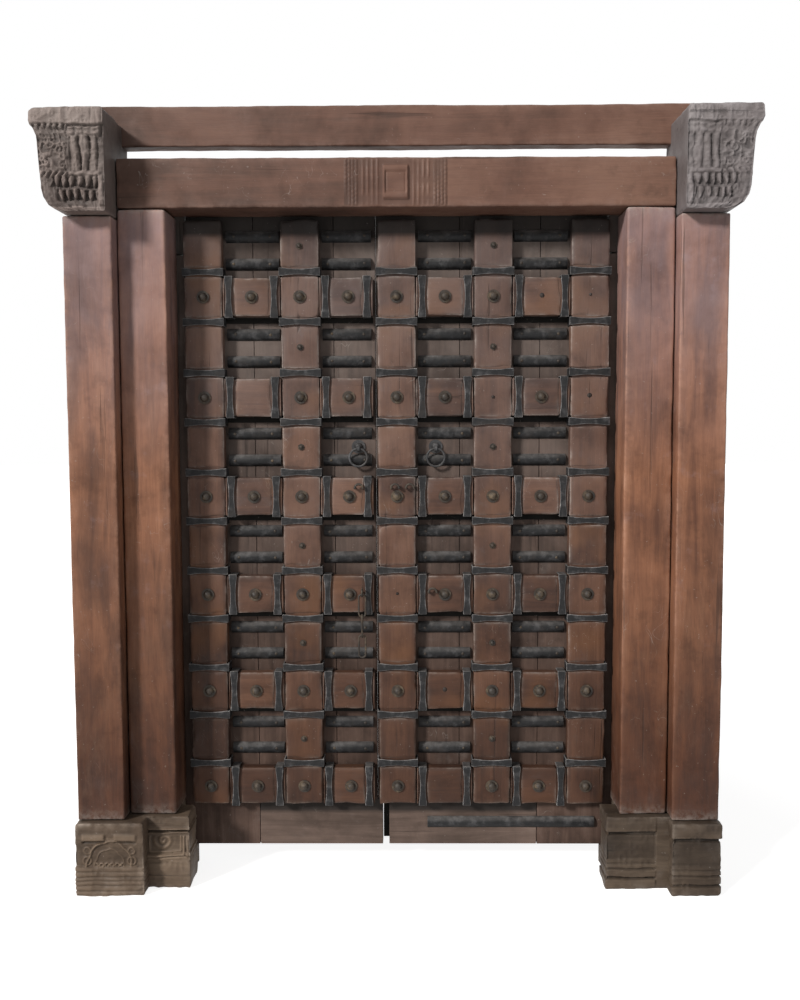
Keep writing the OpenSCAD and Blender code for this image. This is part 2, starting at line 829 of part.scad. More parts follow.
place() base(-1, left_outer_w);  // left_base
place() base(1, right_outer_w);  // right_base
place() outer_post(-1);  // left_outer_post
place() inner_post(-1);  // left_inner_post
place() inner_post(1);  // right_inner_post
place() outer_post(1);  // right_outer_post
place() lower_lintel();
place() upper_beam();
place() corbel(-1);  // left_corbel
place() corbel(1);  // right_corbel
place() pivot_block(-1);  // left_pivot_block
place() pivot_block(1);  // right_pivot_block
place() stile_plank(-1);  // left_stile_plank
place() middle_plank(-1);  // left_middle_plank
place() left_meeting_plank();
place() left_foot_board();
place() batten(0);  // left_batten_1
place() batten(2);  // left_batten_2
for (k = [1 : rails])
    place() left_rail(k);
place() batten_straps([0, 2]);  // left_batten_straps
place() rail_straps(left_straps_x);  // left_rail_straps
place() left_recess_straps();
place() large_studs([0, 1, 2, 3]);  // left_large_studs
place() small_studs(2);  // left_small_studs
place() ring_boss(-1);  // left_ring_boss
place() pull_ring(-1);  // left_pull_ring
place() left_lock_staple();
place() chain_eye();
for (n = [1 : 3])
    place() chain_link(n);
place() stile_plank(1);  // right_stile_plank
place() middle_plank(1);  // right_middle_plank
place() right_meeting_plank();
place() right_foot_board();
place() batten(4);  // cover_batten
place() batten(6);  // right_batten_2
place() batten(8);  // right_batten_3
for (k = [1 : rails])
    place() right_rail(k);
place() batten_straps([4, 6, 8]);  // right_batten_straps
place() rail_straps(right_straps_x);  // right_rail_straps
place() right_recess_straps();
place() right_foot_strap();
place() large_studs([4 : 8]);  // right_large_studs
place() small_studs(6);  // right_small_studs
place() ring_boss(1);  // right_ring_boss
place() pull_ring(1);  // right_pull_ring
place() right_lock_staples();
place() right_low_staple();
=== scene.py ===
"""Carved temple door: worn timber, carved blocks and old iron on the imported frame."""

import json
import math

import bpy
import numpy as np
from mathutils import Matrix, Vector

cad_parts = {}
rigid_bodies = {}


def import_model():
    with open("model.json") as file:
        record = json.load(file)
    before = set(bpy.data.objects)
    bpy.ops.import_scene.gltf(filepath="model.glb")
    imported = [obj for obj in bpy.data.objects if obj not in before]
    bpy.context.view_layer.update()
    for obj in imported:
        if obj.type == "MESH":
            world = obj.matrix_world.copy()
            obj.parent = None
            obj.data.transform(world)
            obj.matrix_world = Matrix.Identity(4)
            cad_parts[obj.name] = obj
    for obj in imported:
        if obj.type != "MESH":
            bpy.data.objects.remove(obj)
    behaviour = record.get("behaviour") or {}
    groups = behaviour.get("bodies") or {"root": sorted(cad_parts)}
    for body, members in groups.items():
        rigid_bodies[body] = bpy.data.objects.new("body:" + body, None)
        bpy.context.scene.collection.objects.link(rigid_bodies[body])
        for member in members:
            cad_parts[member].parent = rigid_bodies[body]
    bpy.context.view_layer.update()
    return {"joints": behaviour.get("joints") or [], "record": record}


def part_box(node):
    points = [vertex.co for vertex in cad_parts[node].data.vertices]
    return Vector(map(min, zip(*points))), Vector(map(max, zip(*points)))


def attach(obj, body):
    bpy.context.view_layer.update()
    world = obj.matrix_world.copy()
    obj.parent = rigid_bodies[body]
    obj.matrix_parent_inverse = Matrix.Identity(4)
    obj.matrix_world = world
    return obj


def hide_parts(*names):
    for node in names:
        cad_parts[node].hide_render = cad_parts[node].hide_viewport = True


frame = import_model()
scene = bpy.context.scene

# Driving sizes, in metres: what the frame's boxes do not give
STRAP_HALF = 0.012
BATTEN_STRAP_OFF = 0.016
RAIL_STRAP_OFF = 0.019
RAILS = 6
SIDES = (("left", -1.0), ("right", 1.0))
BATTENS = {"left": ("left_batten_1", "left_batten_2"),
           "right": ("cover_batten", "right_batten_2", "right_batten_3")}

# Places read from the frame
left_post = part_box("left_inner_post")
front_y = left_post[0].y
back_y = left_post[1].y
jamb_x = -left_post[1].x
split_x = -left_post[0].x
lintel_lo, lintel_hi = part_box("lower_lintel")
beam_lo, beam_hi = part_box("upper_beam")
corbel_lo, corbel_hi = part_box("right_corbel")
base_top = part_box("left_base")[1].z
face_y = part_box("left_rail_1")[0].y
plank_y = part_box("left_rail_1")[1].y
leaf_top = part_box("left_batten_1")[1].z
rail_boxes = [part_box("left_rail_%d" % (n + 1)) for n in range(RAILS)]
grid_foot = rail_boxes[0][0].z
pivots = {joint["name"]: joint["pos_m"] for joint in frame["joints"]}


# Noise and small curves

def scatter(i, j, k, seed):
    """Repeatable random number from 0 to 1 for each whole-number cell."""
    mask = np.int64(0x7FFFFFFF)
    h = (i * 374761393 + j * 668265263 + k * 1440662683 + seed * 974711) & mask
    h = ((h ^ (h >> 13)) * 1274126177) & mask
    h = ((h ^ (h >> 15)) * 668265263) & mask
    return ((h ^ (h >> 16)) & 0xFFFF) / 65535.0


def noise(points, size, seed):
    """Smooth noise from -1 to 1 with bumps about one size apart; size may be one per axis."""
    scaled = points / np.asarray(size)
    cell = np.floor(scaled).astype(np.int64)
    t = scaled - cell
    t = t * t * (3.0 - 2.0 * t)
    total = np.zeros(len(points))
    for dx in (0, 1):
        for dy in (0, 1):
            for dz in (0, 1):
                weight = np.abs(1 - dx - t[:, 0]) * np.abs(1 - dy - t[:, 1]) * np.abs(1 - dz - t[:, 2])
                total += weight * scatter(cell[:, 0] + dx, cell[:, 1] + dy, cell[:, 2] + dz, seed)
    return 2.0 * total - 1.0


def ease(value, lo, hi):
    """Smooth step from 0 at lo to 1 at hi."""
    t = np.clip((value - lo) / (hi - lo), 0.0, 1.0)
    return t * t * (3.0 - 2.0 * t)


def band(value, lo, hi, soft=0.002):
    """1 between lo and hi, 0 outside, with soft ends."""
    return ease(value, lo - soft, lo + soft) * (1.0 - ease(value, hi - soft, hi + soft))


def half_round(value, lo, hi):
    """Fall of a half-round moulding between lo and hi: 0 at its crown, 1 at both ends."""
    t = np.clip((value - lo) / (hi - lo), 0.0, 1.0)
    return 1.0 - np.sqrt(np.clip(1.0 - (2.0 * t - 1.0) ** 2, 0.0, 1.0))


def facing(normal):
    """1 where a surface looks to the front, 0 on its sides and back."""
    return np.clip(-normal[:, 1] * 1.4 - 0.2, 0.0, 1.0)


# Meshes with surface values: nearness to an edge, own tone, darkening (below 0 on raised parts, which it
# makes paler), chalky end. The darkening stands for dirt and painted shade in hollows and on the corbels'
# inner sides; its pale side for wear and painted highlight on crests.

SURFACE_VALUES = ("edge", "tone", "cavity", "chalk")


class Shell:
    """Quads with surface values per point, gathered into one object."""

    def __init__(self):
        self.points, self.quads, self.values, self.count = [], [], [], 0

    def add(self, points, quads, edge=0.0, tone=0.5, cavity=0.0, chalk=0.0):
        values = np.zeros((len(points), len(SURFACE_VALUES)))
        values[:, 0], values[:, 1], values[:, 2], values[:, 3] = edge, tone, cavity, chalk
        self.points.append(points)
        self.quads.append(quads + self.count)
        self.values.append(values)
        self.count += len(points)

    def build(self, name, material, body, nodes=()):
        values = np.concatenate(self.values)
        mesh = bpy.data.meshes.new(name)
        mesh.from_pydata(np.concatenate(self.points).tolist(), [], np.concatenate(self.quads).tolist())
        for column, key in enumerate(SURFACE_VALUES):
            layer = mesh.attributes.new(key, "FLOAT", "POINT")
            layer.data.foreach_set("value", values[:, column].astype(np.float32))
        mesh.shade_smooth()
        mesh.materials.append(material)
        piece = bpy.data.objects.new(name, mesh)
        scene.collection.objects.link(piece)
        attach(piece, body)
        if nodes:
            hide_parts(*nodes)
        return piece


def lattice(xs, ys, zs):
    """Points and outward quads on the surface of a box-shaped grid."""
    shape = (len(xs), len(ys), len(zs))
    index = np.indices(shape)
    on = np.zeros(shape, bool)
    for axis, n in enumerate(shape):
        on |= (index[axis] == 0) | (index[axis] == n - 1)
    ids = np.full(shape, -1)
    ids[on] = np.arange(on.sum())
    i, j, k = (part[on] for part in index)
    quads = []
    for axis, n in enumerate(shape):
        for end in (0, n - 1):
            sheet = np.take(ids, end, axis=axis)
            ring = np.stack([sheet[:-1, :-1], sheet[1:, :-1], sheet[1:, 1:], sheet[:-1, 1:]], -1)
            ring = ring.reshape(-1, 4)
            outward = (end > 0) != (axis == 1)
            quads.append(ring if outward else ring[:, ::-1])
    return np.column_stack([xs[i], ys[j], zs[k]]), np.concatenate(quads)


def axis_lines(lo, hi, cell, edge):
    """Grid lines from lo to hi, closer together beside both ends."""
    near = edge * np.array([0.0, 0.3, 0.7, 1.2, 1.9])
    near = near[near < 0.42 * (hi - lo)]
    start, stop = lo + near[-1], hi - near[-1]
    middle = np.linspace(start, stop, max(2, int(round((stop - start) / cell)) + 1))
    return np.concatenate([lo + near[:-1], middle, (hi - near[:-1])[::-1]])


def timber(shell, lo, hi, cell, edge, seed, chip=0.7, wave=0.0012, crown=0.0, tone=None,
           carve=None, lines=None, ends=0.0):
    """Hand-worked block: rounded, chipped edges, an uneven skin, chalky ends and optional carving."""
    lo, hi = np.array(lo, float), np.array(hi, float)
    size = hi - lo
    edge = min(edge, 0.4 * size.min())
    grid = [axis_lines(lo[n], hi[n], cell[n], edge) for n in range(3)]
    for axis, places in (lines or {}).items():
        grid[axis] = places
    points, quads = lattice(*grid)
    reach = np.minimum(points - lo, hi - points)
    to_edge = np.sort(reach, axis=1)[:, 1]
    wear = noise(points, 0.055, seed) + 0.6 * noise(points, 0.016, seed + 1)
    radius = edge * np.clip(1.0 + chip * wear, 0.35, 2.1)
    radius = np.minimum(radius, 0.49 * size.min())[:, None]
    core = np.clip(points, lo + radius, hi - radius)
    away = points - core
    normal = away / np.maximum(np.linalg.norm(away, axis=1, keepdims=True), 1e-9)
    moved = core + normal * radius
    if crown:
        u = 2.0 * (points[:, 0] - lo[0]) / size[0] - 1.0
        v = 2.0 * (points[:, 2] - lo[2]) / size[2] - 1.0
        front = np.clip(-normal[:, 1], 0.0, 1.0)
        moved[:, 1] += crown * front * (1.0 - (1.0 - u ** 4) * (1.0 - v ** 4))
    cavity = np.zeros(len(points))
    if carve:
        moved, cavity = carve(points, moved, normal)
    sink = wave * (1.0 + 0.6 * noise(points, 0.28, seed + 2) + 0.4 * noise(points, 0.05, seed + 3))
    moved = moved - normal * np.maximum(sink, 0.0)[:, None]
    own_tone = scatter(seed, seed * 7, 3, 11) if tone is None else tone
    if isinstance(tone, tuple):
        own_tone = np.interp(points[:, 0], (lo[0], hi[0]), tone)
    chalk = np.exp(-reach[:, 2] / ends) if ends else 0.0
    shell.add(moved, quads, np.exp(-to_edge / (1.3 * edge)), own_tone, cavity, chalk)


def lathe(shell, centre, axis, profile, steps=20, tone=0.5, edge=0.2):
    """Turned form: profile pairs (radius, height) spun round an axis through centre."""
    profile = np.array(profile)
    angle = np.linspace(0.0, 2.0 * math.pi, steps, endpoint=False)
    along = np.array(axis, float)
    side = np.cross(along, (0.0, 0.0, 1.0) if abs(along[2]) < 0.9 else (1.0, 0.0, 0.0))
    side /= np.linalg.norm(side)
    other = np.cross(along, side)
    circle = np.cos(angle)[:, None] * side + np.sin(angle)[:, None] * other
    points = (np.array(centre) + profile[:, None, 0, None] * circle[None]
              + profile[:, None, 1, None] * along).reshape(-1, 3)
    quads = []
    for row in range(len(profile) - 1):
        for n in range(steps):
            m = (n + 1) % steps
            quads.append([row * steps + n, row * steps + m, (row + 1) * steps + m, (row + 1) * steps + n])
    shell.add(points, np.array(quads), edge, tone)


# Materials

class Paint:
    """Short-hand for one material's node tree."""

    def __init__(self, name):
        self.material = bpy.data.materials.new(name)
        self.material.use_nodes = True
        self.tree = self.material.node_tree
        self.tree.nodes.clear()
        self.place = self.make("TexCoord").outputs["Object"]

    def make(self, kind, inputs=None, **settings):
        node = self.tree.nodes.new("ShaderNode" + kind)
        for key, value in settings.items():
            setattr(node, key, value)
        for key, value in (inputs or {}).items():
            if isinstance(value, bpy.types.NodeSocket):
                self.tree.links.new(value, node.inputs[key])
            else:
                node.inputs[key].default_value = value
        return node

    def stretch(self, scale):
        return self.make("Mapping", {"Vector": self.place, "Scale": scale}).outputs[0]

    def noise(self, scale, detail=4.0, rough=0.55, bend=0.0, vector=None):
        return self.make("TexNoise", {"Vector": vector or self.place, "Scale": scale, "Detail": detail,
                                      "Roughness": rough, "Distortion": bend}).outputs["Fac"]

    def ramp(self, value, stops):
        node = self.make("ValToRGB", {"Fac": value})
        while len(node.color_ramp.elements) < len(stops):
            node.color_ramp.elements.new(0.5)
        for element, (position, colour) in zip(node.color_ramp.elements, stops):
            element.position = position
            element.color = (*colour, 1.0)
        return node.outputs["Color"]

    def math(self, operation, a, b=0.0, clamp=False):
        return self.make("Math", {0: a, 1: b}, operation=operation, use_clamp=clamp).outputs[0]

    def fit(self, value, lo, hi, to_lo=0.0, to_hi=1.0):
        return self.make("MapRange", {0: value, 1: lo, 2: hi, 3: to_lo, 4: to_hi}).outputs[0]

    def mix(self, share, a, b, blend="MIX"):
        a, b = ((*c, 1.0) if isinstance(c, tuple) else c for c in (a, b))
        return self.make("Mix", {0: share, 6: a, 7: b}, data_type="RGBA", blend_type=blend).outputs[2]

    def value(self, name):
        return self.make("Attribute", attribute_name=name).outputs["Fac"]

    def height(self):
        return self.make("SeparateXYZ", {0: self.place}).outputs["Z"]

    def bump(self, height, distance, strength=1.0, normal=None):
        inputs = {"Height": height, "Distance": distance, "Strength": strength}
        if normal:
            inputs["Normal"] = normal
        return self.make("Bump", inputs).outputs[0]

    def finish(self, colour, rough, normal, metal=0.0, gloss=0.4):
        shader = self.make("BsdfPrincipled", {"Base Color": colour, "Roughness": rough, "Normal": normal,
                                              "Metallic": metal, "Specular IOR Level": gloss})
        self.make("OutputMaterial", {"Surface": shader.outputs[0]})
        return self.material


GRAIN_Z = (1.0, 1.0, 0.07)
GRAIN_X = (0.07, 1.0, 1.0)
# Tint for the painted shade towards the bottom, where the light falls off
LOW_SHADE = (0.27, 0.2, 0.145)
SCUFF = (0.34, 0.305, 0.28)
LOW_STAIN = (0.14, 0.078, 0.05)
# Painted shadow: its near-black colour, the softness of its edge, and how far under the leaf top and the
# grid foot the painted shadows of the lintel and the lowest rail reach
SHADOW_BLACK = (0.008, 0.007, 0.0065)
SHADOW_FADE = 0.007
LEAF_SHADOW_DROP, PLANK_SHADOW_DROP, FOOT_SHADOW_DROP = 0.046, 0.052, 0.04


def old_wood(name, grain, dark, mid, pale, dust, dust_from, wear=0.5, gloss=0.35, low_shade=0.0,
             streaks=0.42, variety=0.07, settled=0.72, sharp=1.0, runs=0.0, rub=None, warm=None,
             shaded_above=None):
    """Oiled old timber; dust, a painted shade towards the bottom and a black painted shadow near the top
    change with the height over the ground.

    variety: how far a block's own tone shifts it. settled: share of dust. sharp: how narrow rubbed
    edges are. runs: dark runs and low stains. rub, warm: colours of rubbed edges and warm patches.
    shaded_above: height from which the timber is black, a painted shadow of what stands over it. low_shade:
    strength of the painted shade towards the bottom.
    """
    p = Paint(name)
    # Streaks, blotches and the block's own tone
    along = p.stretch(grain)
    streak = p.noise(30.0, 5.0, 0.6, 0.8, along)
    fibre = p.noise(240.0, 4.0, 0.65, 0.2, along)
    blotch = p.noise(4.2, 5.0, 0.6, 0.3)
    stain = p.noise(13.0, 6.0, 0.65)
    tone = p.math("ADD", p.math("MULTIPLY", streak, streaks), p.math("MULTIPLY", blotch, 1.0 - streaks))
    tone = p.math("ADD", tone, p.fit(p.value("tone"), 0.0, 1.0, -variety, variety))
    colour = p.ramp(tone, [(0.34, dark), (0.5, mid), (0.66, pale)])
    colour = p.mix(p.fit(fibre, 0.3, 0.6, 0.26, 0.0), colour, dark)
    colour = p.mix(p.fit(stain, 0.56, 0.72, 0.0, 0.4), colour, tuple(0.55 * c for c in dark))
    if warm:
        colour = p.mix(p.fit(p.noise(5.0, 3.0, 0.5), 0.5, 0.64, 0.0, 0.45), colour, warm)
    if runs:
        run = p.noise(9.0, 5.0, 0.6, 0.5, p.stretch((1.0, 1.0, 0.22)))
        colour = p.mix(p.fit(run, 0.47, 0.64, 0.0, runs), colour, tuple(0.6 * c for c in dark))
        worn_patch = p.fit(p.noise(5.5, 6.0, 0.72, 0.4, p.stretch((1.0, 1.0, 0.5))), 0.52, 0.66)
        low = p.math("MULTIPLY", worn_patch, p.fit(p.height(), 0.35, 1.0, 0.38, 0.0))
    # Dust, thicker towards the top; on the posts the lilac dust also stands for a painted sheen
    settle = p.math("MULTIPLY", p.fit(p.height(), dust_from, 2.3), p.fit(blotch, 0.3, 0.62, 0.25, 1.0))
    settle = p.math("ADD", p.math("MULTIPLY", settle, settled), p.fit(stain, 0.22, 0.4, 0.24, 0.0), True)
    colour = p.mix(settle, colour, dust)
    # Rubbed edges; darkening of hollows and the corbels' inner sides (dirt and painted shade) and pale
    # crests of carving (wear and painted highlight)
    corner = p.math("POWER", p.value("edge"), sharp)
    rubbed = p.math("MULTIPLY", corner, p.fit(p.noise(46.0, 5.0, 0.7), 0.32, 0.54))
    rubbed = p.math("MULTIPLY", rubbed, p.fit(p.noise(12.0, 3.0, 0.6), 0.44, 0.58, 0.25, 1.0))
    colour = p.mix(p.math("MULTIPLY", rubbed, wear), colour, rub or tuple(1.15 * c + 0.08 for c in pale))
    colour = p.mix(p.math("MULTIPLY", p.value("cavity"), 0.8), colour, tuple(0.3 * c for c in dark))
    colour = p.mix(p.fit(p.value("cavity"), 0.0, -1.0, 0.0, 0.7), colour, tuple(1.3 * c for c in pale))
    # White scuffs, flecks and scratches
    scuff = p.math("MULTIPLY", p.value("chalk"), p.fit(p.noise(60.0, 6.0, 0.7), 0.36, 0.58))
    fleck = p.math("MULTIPLY", p.fit(p.noise(120.0, 2.0, 0.5), 0.72, 0.75), 0.35)
    scratch = p.noise(16.0, 2.0, 0.4, 1.5, p.stretch((1.0, 1.0, 0.5)))
    scratch = p.math("ABSOLUTE", p.math("SUBTRACT", scratch, 0.5))
    scratch = p.math("MULTIPLY", p.fit(scratch, 0.0035, 0.0015), p.fit(p.noise(7.0), 0.56, 0.66))
    white = p.math("ADD", p.math("ADD", scuff, fleck, True), p.math("MULTIPLY", scratch, 0.4), True)
    # Cracks along the grain
    crack = p.fit(p.noise(52.0, 3.0, 0.5, 0.4, p.stretch(tuple(0.4 * g if g < 1 else g for g in grain))),
                  0.34, 0.29)
    colour = p.mix(p.math("MULTIPLY", crack, 0.5), colour, tuple(0.25 * c for c in dark))
    # Painted shade towards the bottom, low stains, and a black painted shadow near the top
    if low_shade:
        colour = p.mix(p.fit(p.height(), 0.42, 1.12, low_shade, 0.0), colour, LOW_SHADE, "MULTIPLY")
    if runs:
        colour = p.mix(low, colour, LOW_STAIN)
    if shaded_above:
        black = p.fit(p.height(), shaded_above - SHADOW_FADE, shaded_above + SHADOW_FADE, 0.0, 0.88)
        colour = p.mix(black, colour, SHADOW_BLACK)
    colour = p.mix(p.math("MULTIPLY", white, 0.7), colour, SCUFF)
    normal = p.bump(fibre, 0.001, 0.45)
    normal = p.bump(streak, 0.0025, 0.3, normal)
    normal = p.bump(p.math("SUBTRACT", 1.0, crack), 0.0016, 0.5, normal)
    rough = p.fit(stain, 0.25, 0.75, 0.48, 0.78)
    return p.finish(colour, rough, normal, gloss=gloss)


# Pale dust on upward faces, also a painted highlight on the straps' upper edges
IRON_DUST_AND_HIGHLIGHT = (0.17, 0.16, 0.155)


def old_iron(name, dark, mid, rust, worn, dust=0.5, gloss=0.3):
    """Forged iron: dark scale, rust, rubbed high spots, and dust on what faces up that is also a painted
    highlight.
    """
    p = Paint(name)
    mottle = p.noise(38.0, 6.0, 0.65)
    fine = p.noise(210.0, 4.0, 0.6)
    beaten = p.noise(70.0, 2.0, 0.4)
    colour = p.ramp(mottle, [(0.32, dark), (0.52, mid), (0.7, worn)])
    colour = p.mix(p.fit(p.noise(17.0, 5.0, 0.7), 0.52, 0.68, 0.0, 0.65), colour, rust)
    colour = p.mix(p.fit(fine, 0.62, 0.75, 0.0, 0.5), colour, worn)
    # What faces up is paler: dust and a painted highlight
    up = p.make("SeparateXYZ", {0: p.make("NewGeometry").outputs["Normal"]}).outputs["Z"]
    dust_and_highlight = p.math("MULTIPLY", p.fit(up, 0.15, 0.8, 0.0, dust), p.fit(mottle, 0.34, 0.6, 0.35, 1.0))
    colour = p.mix(dust_and_highlight, colour, IRON_DUST_AND_HIGHLIGHT)
    normal = p.bump(fine, 0.0008, 0.6)
    normal = p.bump(beaten, 0.003, 0.6, normal)
    return p.finish(colour, p.fit(mottle, 0.3, 0.7, 0.5, 0.75), normal, gloss=gloss)


POST_RED = dict(dark=(0.09, 0.035, 0.019), mid=(0.232, 0.1, 0.053), pale=(0.335, 0.16, 0.09))
BEAM_RED = dict(dark=(0.052, 0.024, 0.015), mid=(0.112, 0.051, 0.033), pale=(0.17, 0.086, 0.057))
LEAF_RED = dict(dark=(0.038, 0.016, 0.0095), mid=(0.1, 0.046, 0.027), pale=(0.168, 0.084, 0.052))
PLANK = dict(dark=(0.034, 0.02, 0.015), mid=(0.086, 0.054, 0.042), pale=(0.138, 0.095, 0.078))
CARVED = dict(dark=(0.056, 0.04, 0.035), mid=(0.146, 0.109, 0.097), pale=(0.236, 0.188, 0.171))
BASE = dict(dark=(0.036, 0.024, 0.016), mid=(0.092, 0.063, 0.043), pale=(0.178, 0.13, 0.092))
FOOT = dict(dark=(0.066, 0.046, 0.037), mid=(0.137, 0.097, 0.08), pale=(0.215, 0.162, 0.138))
# Lilac dust on the posts' tops, which also stands for a painted sheen
LILAC_DUST_AND_SHEEN = (0.3, 0.236, 0.262)
BROWN_DUST = (0.18, 0.112, 0.09)
GREY_DUST = (0.19, 0.165, 0.152)
LEAF_DUST = (0.118, 0.108, 0.113)
PALE_DUST = (0.19, 0.172, 0.17)
# Darker copy of the base colours for the right base: painted shade, as it stands in less light
SHADED_BASE = {key: tuple(0.54 * c for c in value) for key, value in BASE.items()}
PALE_CARVED = {key: tuple(c * k for c, k in zip(value, (1.0, 1.15, 1.31))) for key, value in CARVED.items()}

# Posts: paler lilac towards the top (dust and painted sheen) and darker towards the bottom (painted shade)
post_wood = old_wood("post_wood", GRAIN_Z, dust=LILAC_DUST_AND_SHEEN, dust_from=1.25, low_shade=0.96, settled=0.85,
                     runs=0.7, **POST_RED)
beam_wood = old_wood("beam_wood", GRAIN_X, dust=BROWN_DUST, dust_from=1.7, streaks=0.3, settled=0.28,
                     variety=0.15, **BEAM_RED)
# Leaf timber: black near its top, a painted shadow of the lintel, and darker towards the bottom, painted
# shade
LEAF_LOOK = dict(shaded_above=leaf_top - LEAF_SHADOW_DROP, dust=LEAF_DUST, dust_from=0.7, wear=1.0, gloss=0.3,
                 low_shade=0.62, sharp=2.6, variety=0.09, settled=0.66, rub=(0.3, 0.262, 0.24),
                 warm=(0.175, 0.078, 0.034), **LEAF_RED)
batten_wood = old_wood("batten_wood", GRAIN_Z, **LEAF_LOOK)
rail_wood = old_wood("rail_wood", GRAIN_X, **LEAF_LOOK)
# Planks black near the top, a painted shadow of the lintel; foot boards black at the top, a painted shadow
# of the lowest rail
plank_wood = old_wood("plank_wood", GRAIN_Z, dust=GREY_DUST, dust_from=0.6, wear=0.0, gloss=0.2,
                      shaded_above=leaf_top - PLANK_SHADOW_DROP, **PLANK)
foot_wood = old_wood("foot_wood", GRAIN_X, dust=GREY_DUST, dust_from=0.6, wear=0.0, gloss=0.2,
                     shaded_above=grid_foot - FOOT_SHADOW_DROP, **FOOT)
corbel_wood = old_wood("corbel_wood", GRAIN_X, dust=GREY_DUST, dust_from=1.8, gloss=0.25, streaks=0.2,
                       **CARVED)
pale_corbel_wood = old_wood("pale_corbel_wood", GRAIN_X, dust=PALE_DUST, dust_from=1.8, gloss=0.25,
                            streaks=0.2, **PALE_CARVED)
base_wood = old_wood("base_wood", GRAIN_X, dust=GREY_DUST, dust_from=1.2, wear=0.8, gloss=0.25, **BASE)
# Right base: the darker copy, painted shade
worn_base_wood = old_wood("worn_base_wood", GRAIN_X, dust=GREY_DUST, dust_from=1.2, wear=0.6, gloss=0.25,
                          **SHADED_BASE)
dark_wood = old_wood("dark_wood", GRAIN_Z, dust=GREY_DUST, dust_from=1.4, gloss=0.2,
                     dark=(0.012, 0.009, 0.008), mid=(0.028, 0.021, 0.018), pale=(0.05, 0.04, 0.034))
# Near-black for the strips under the rails and in the slit: painted shade
soot = old_wood("soot", GRAIN_X, dust=(0.012, 0.01, 0.009), dust_from=2.0, wear=0.0, gloss=0.1,
                dark=(0.004, 0.0035, 0.003), mid=(0.008, 0.007, 0.006), pale=(0.016, 0.013, 0.011))
strap_iron = old_iron("strap_iron", dark=(0.004, 0.0042, 0.0048), mid=(0.0125, 0.0128, 0.014),
                      rust=(0.026, 0.022, 0.02), worn=(0.06, 0.06, 0.063), dust=0.5, gloss=0.25)
# Paler iron on the straps' bevelled edges: painted highlight and rubbed wear
strap_rim = old_iron("strap_rim", dark=(0.03, 0.03, 0.032), mid=(0.13, 0.127, 0.128),
                     rust=(0.06, 0.052, 0.048), worn=(0.3, 0.29, 0.285))
stud_iron = old_iron("stud_iron", dark=(0.006, 0.0045, 0.0035), mid=(0.026, 0.018, 0.0115),
                     rust=(0.04, 0.025, 0.014), worn=(0.12, 0.088, 0.055), dust=0.12, gloss=0.45)
ring_iron = old_iron("ring_iron", dark=(0.006, 0.006, 0.007), mid=(0.019, 0.019, 0.021),
                     rust=(0.028, 0.021, 0.017), worn=(0.085, 0.085, 0.09), dust=0.25, gloss=0.5)


# Frame: posts and beams

POST_EDGE = {"inner": 0.008, "outer": 0.007}
POST_CELL = (0.014, 0.016, 0.022)
POST_CHALK = 0.011


def build_posts():
    """Posts between the base blocks and the lintel or the corbels; their tenons stay hidden."""
    for seed, (side, _) in enumerate(SIDES):
        for kind, top in (("inner", lintel_lo.z), ("outer", corbel_lo.z)):
            lo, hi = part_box("%s_%s_post" % (side, kind))
            shell = Shell()
            timber(shell, (lo.x, lo.y, base_top), (hi.x, hi.y, top), POST_CELL, POST_EDGE[kind],
                   40 * seed + len(kind) + ord(kind[0]), chip=0.4, wave=0.0014, tone=0.5 - 0.1 * seed,
                   ends=POST_CHALK)
            shell.build("%s_%s_post_timber" % (side, kind), post_wood, "frame",
                        ["%s_%s_post" % (side, kind)])


PANEL_HALF = 0.148
REED = 0.010
REED_RISE = 0.0042
BRAID_PITCH = 0.013
MOULDINGS = (0.052, 0.066, 0.080, 0.094)
MOULDING_HALF, MOULDING_RISE = 0.003, 0.0026
SQUARE_W, SQUARE_H = 0.072, 0.094
SQUARE_RISE = 0.0075
WELL_DEEP, WELL_IN = 0.0045, 0.006
BOSS_RISE, BOSS_IN = 0.0015, 0.010
PANEL_MARGIN = 0.006
FINE, FINE_TO, COARSE_FROM = 0.002, 0.156, 0.16
BEAM_CELL = 0.02
LINTEL_EDGE, BEAM_EDGE = 0.008, 0.007


def lintel_carving(points, moved, normal):
    """Worn braided pilasters, upright mouldings and a framed square in the middle of the lintel."""
    front = facing(normal)
    x, z = np.abs(points[:, 0]), points[:, 2]
    middle = 0.5 * (lintel_lo.z + lintel_hi.z)
    inside = band(z, lintel_lo.z + PANEL_MARGIN, lintel_hi.z - PANEL_MARGIN)
    reeds = band(x, PANEL_HALF - 4 * REED, PANEL_HALF, 0.001) * inside
    kept = np.clip(0.5 + 0.9 * noise(points, (0.03, 0.1, 0.024), 215), 0.0, 1.0)
    reed = (PANEL_HALF - x) / REED
    braid = 0.65 + 0.35 * np.sin(2.0 * math.pi * (z / BRAID_PITCH + np.floor(reed) / 2.0))
    rise = REED_RISE * reeds * braid * kept * np.sqrt(np.abs(np.sin(math.pi * reed)))
    for place in MOULDINGS:
        bead = band(x, place - MOULDING_HALF, place + MOULDING_HALF, 0.0015)
        rise += MOULDING_RISE * kept * bead * inside
    up = np.abs(z - middle)
    square = band(x, -1.0, SQUARE_W / 2) * band(up, -1.0, SQUARE_H / 2)
    well = band(x, -1.0, SQUARE_W / 2 - WELL_IN) * band(up, -1.0, SQUARE_W / 2 - WELL_IN)
    boss = band(x, -1.0, SQUARE_W / 2 - BOSS_IN) * band(up, -1.0, SQUARE_W / 2 - BOSS_IN)
    rise = np.maximum(rise, SQUARE_RISE * square - WELL_DEEP * well + BOSS_RISE * boss)
    ground = band(x, -1.0, PANEL_HALF) * inside * np.clip(1.0 - rise / 0.003, 0.0, 1.0)
    moved = moved.copy()
    moved[:, 1] -= rise * front
    # Sunk ground and reeds darker: dirt and painted shade
    return moved, (0.35 * ground + 0.25 * reeds) * front


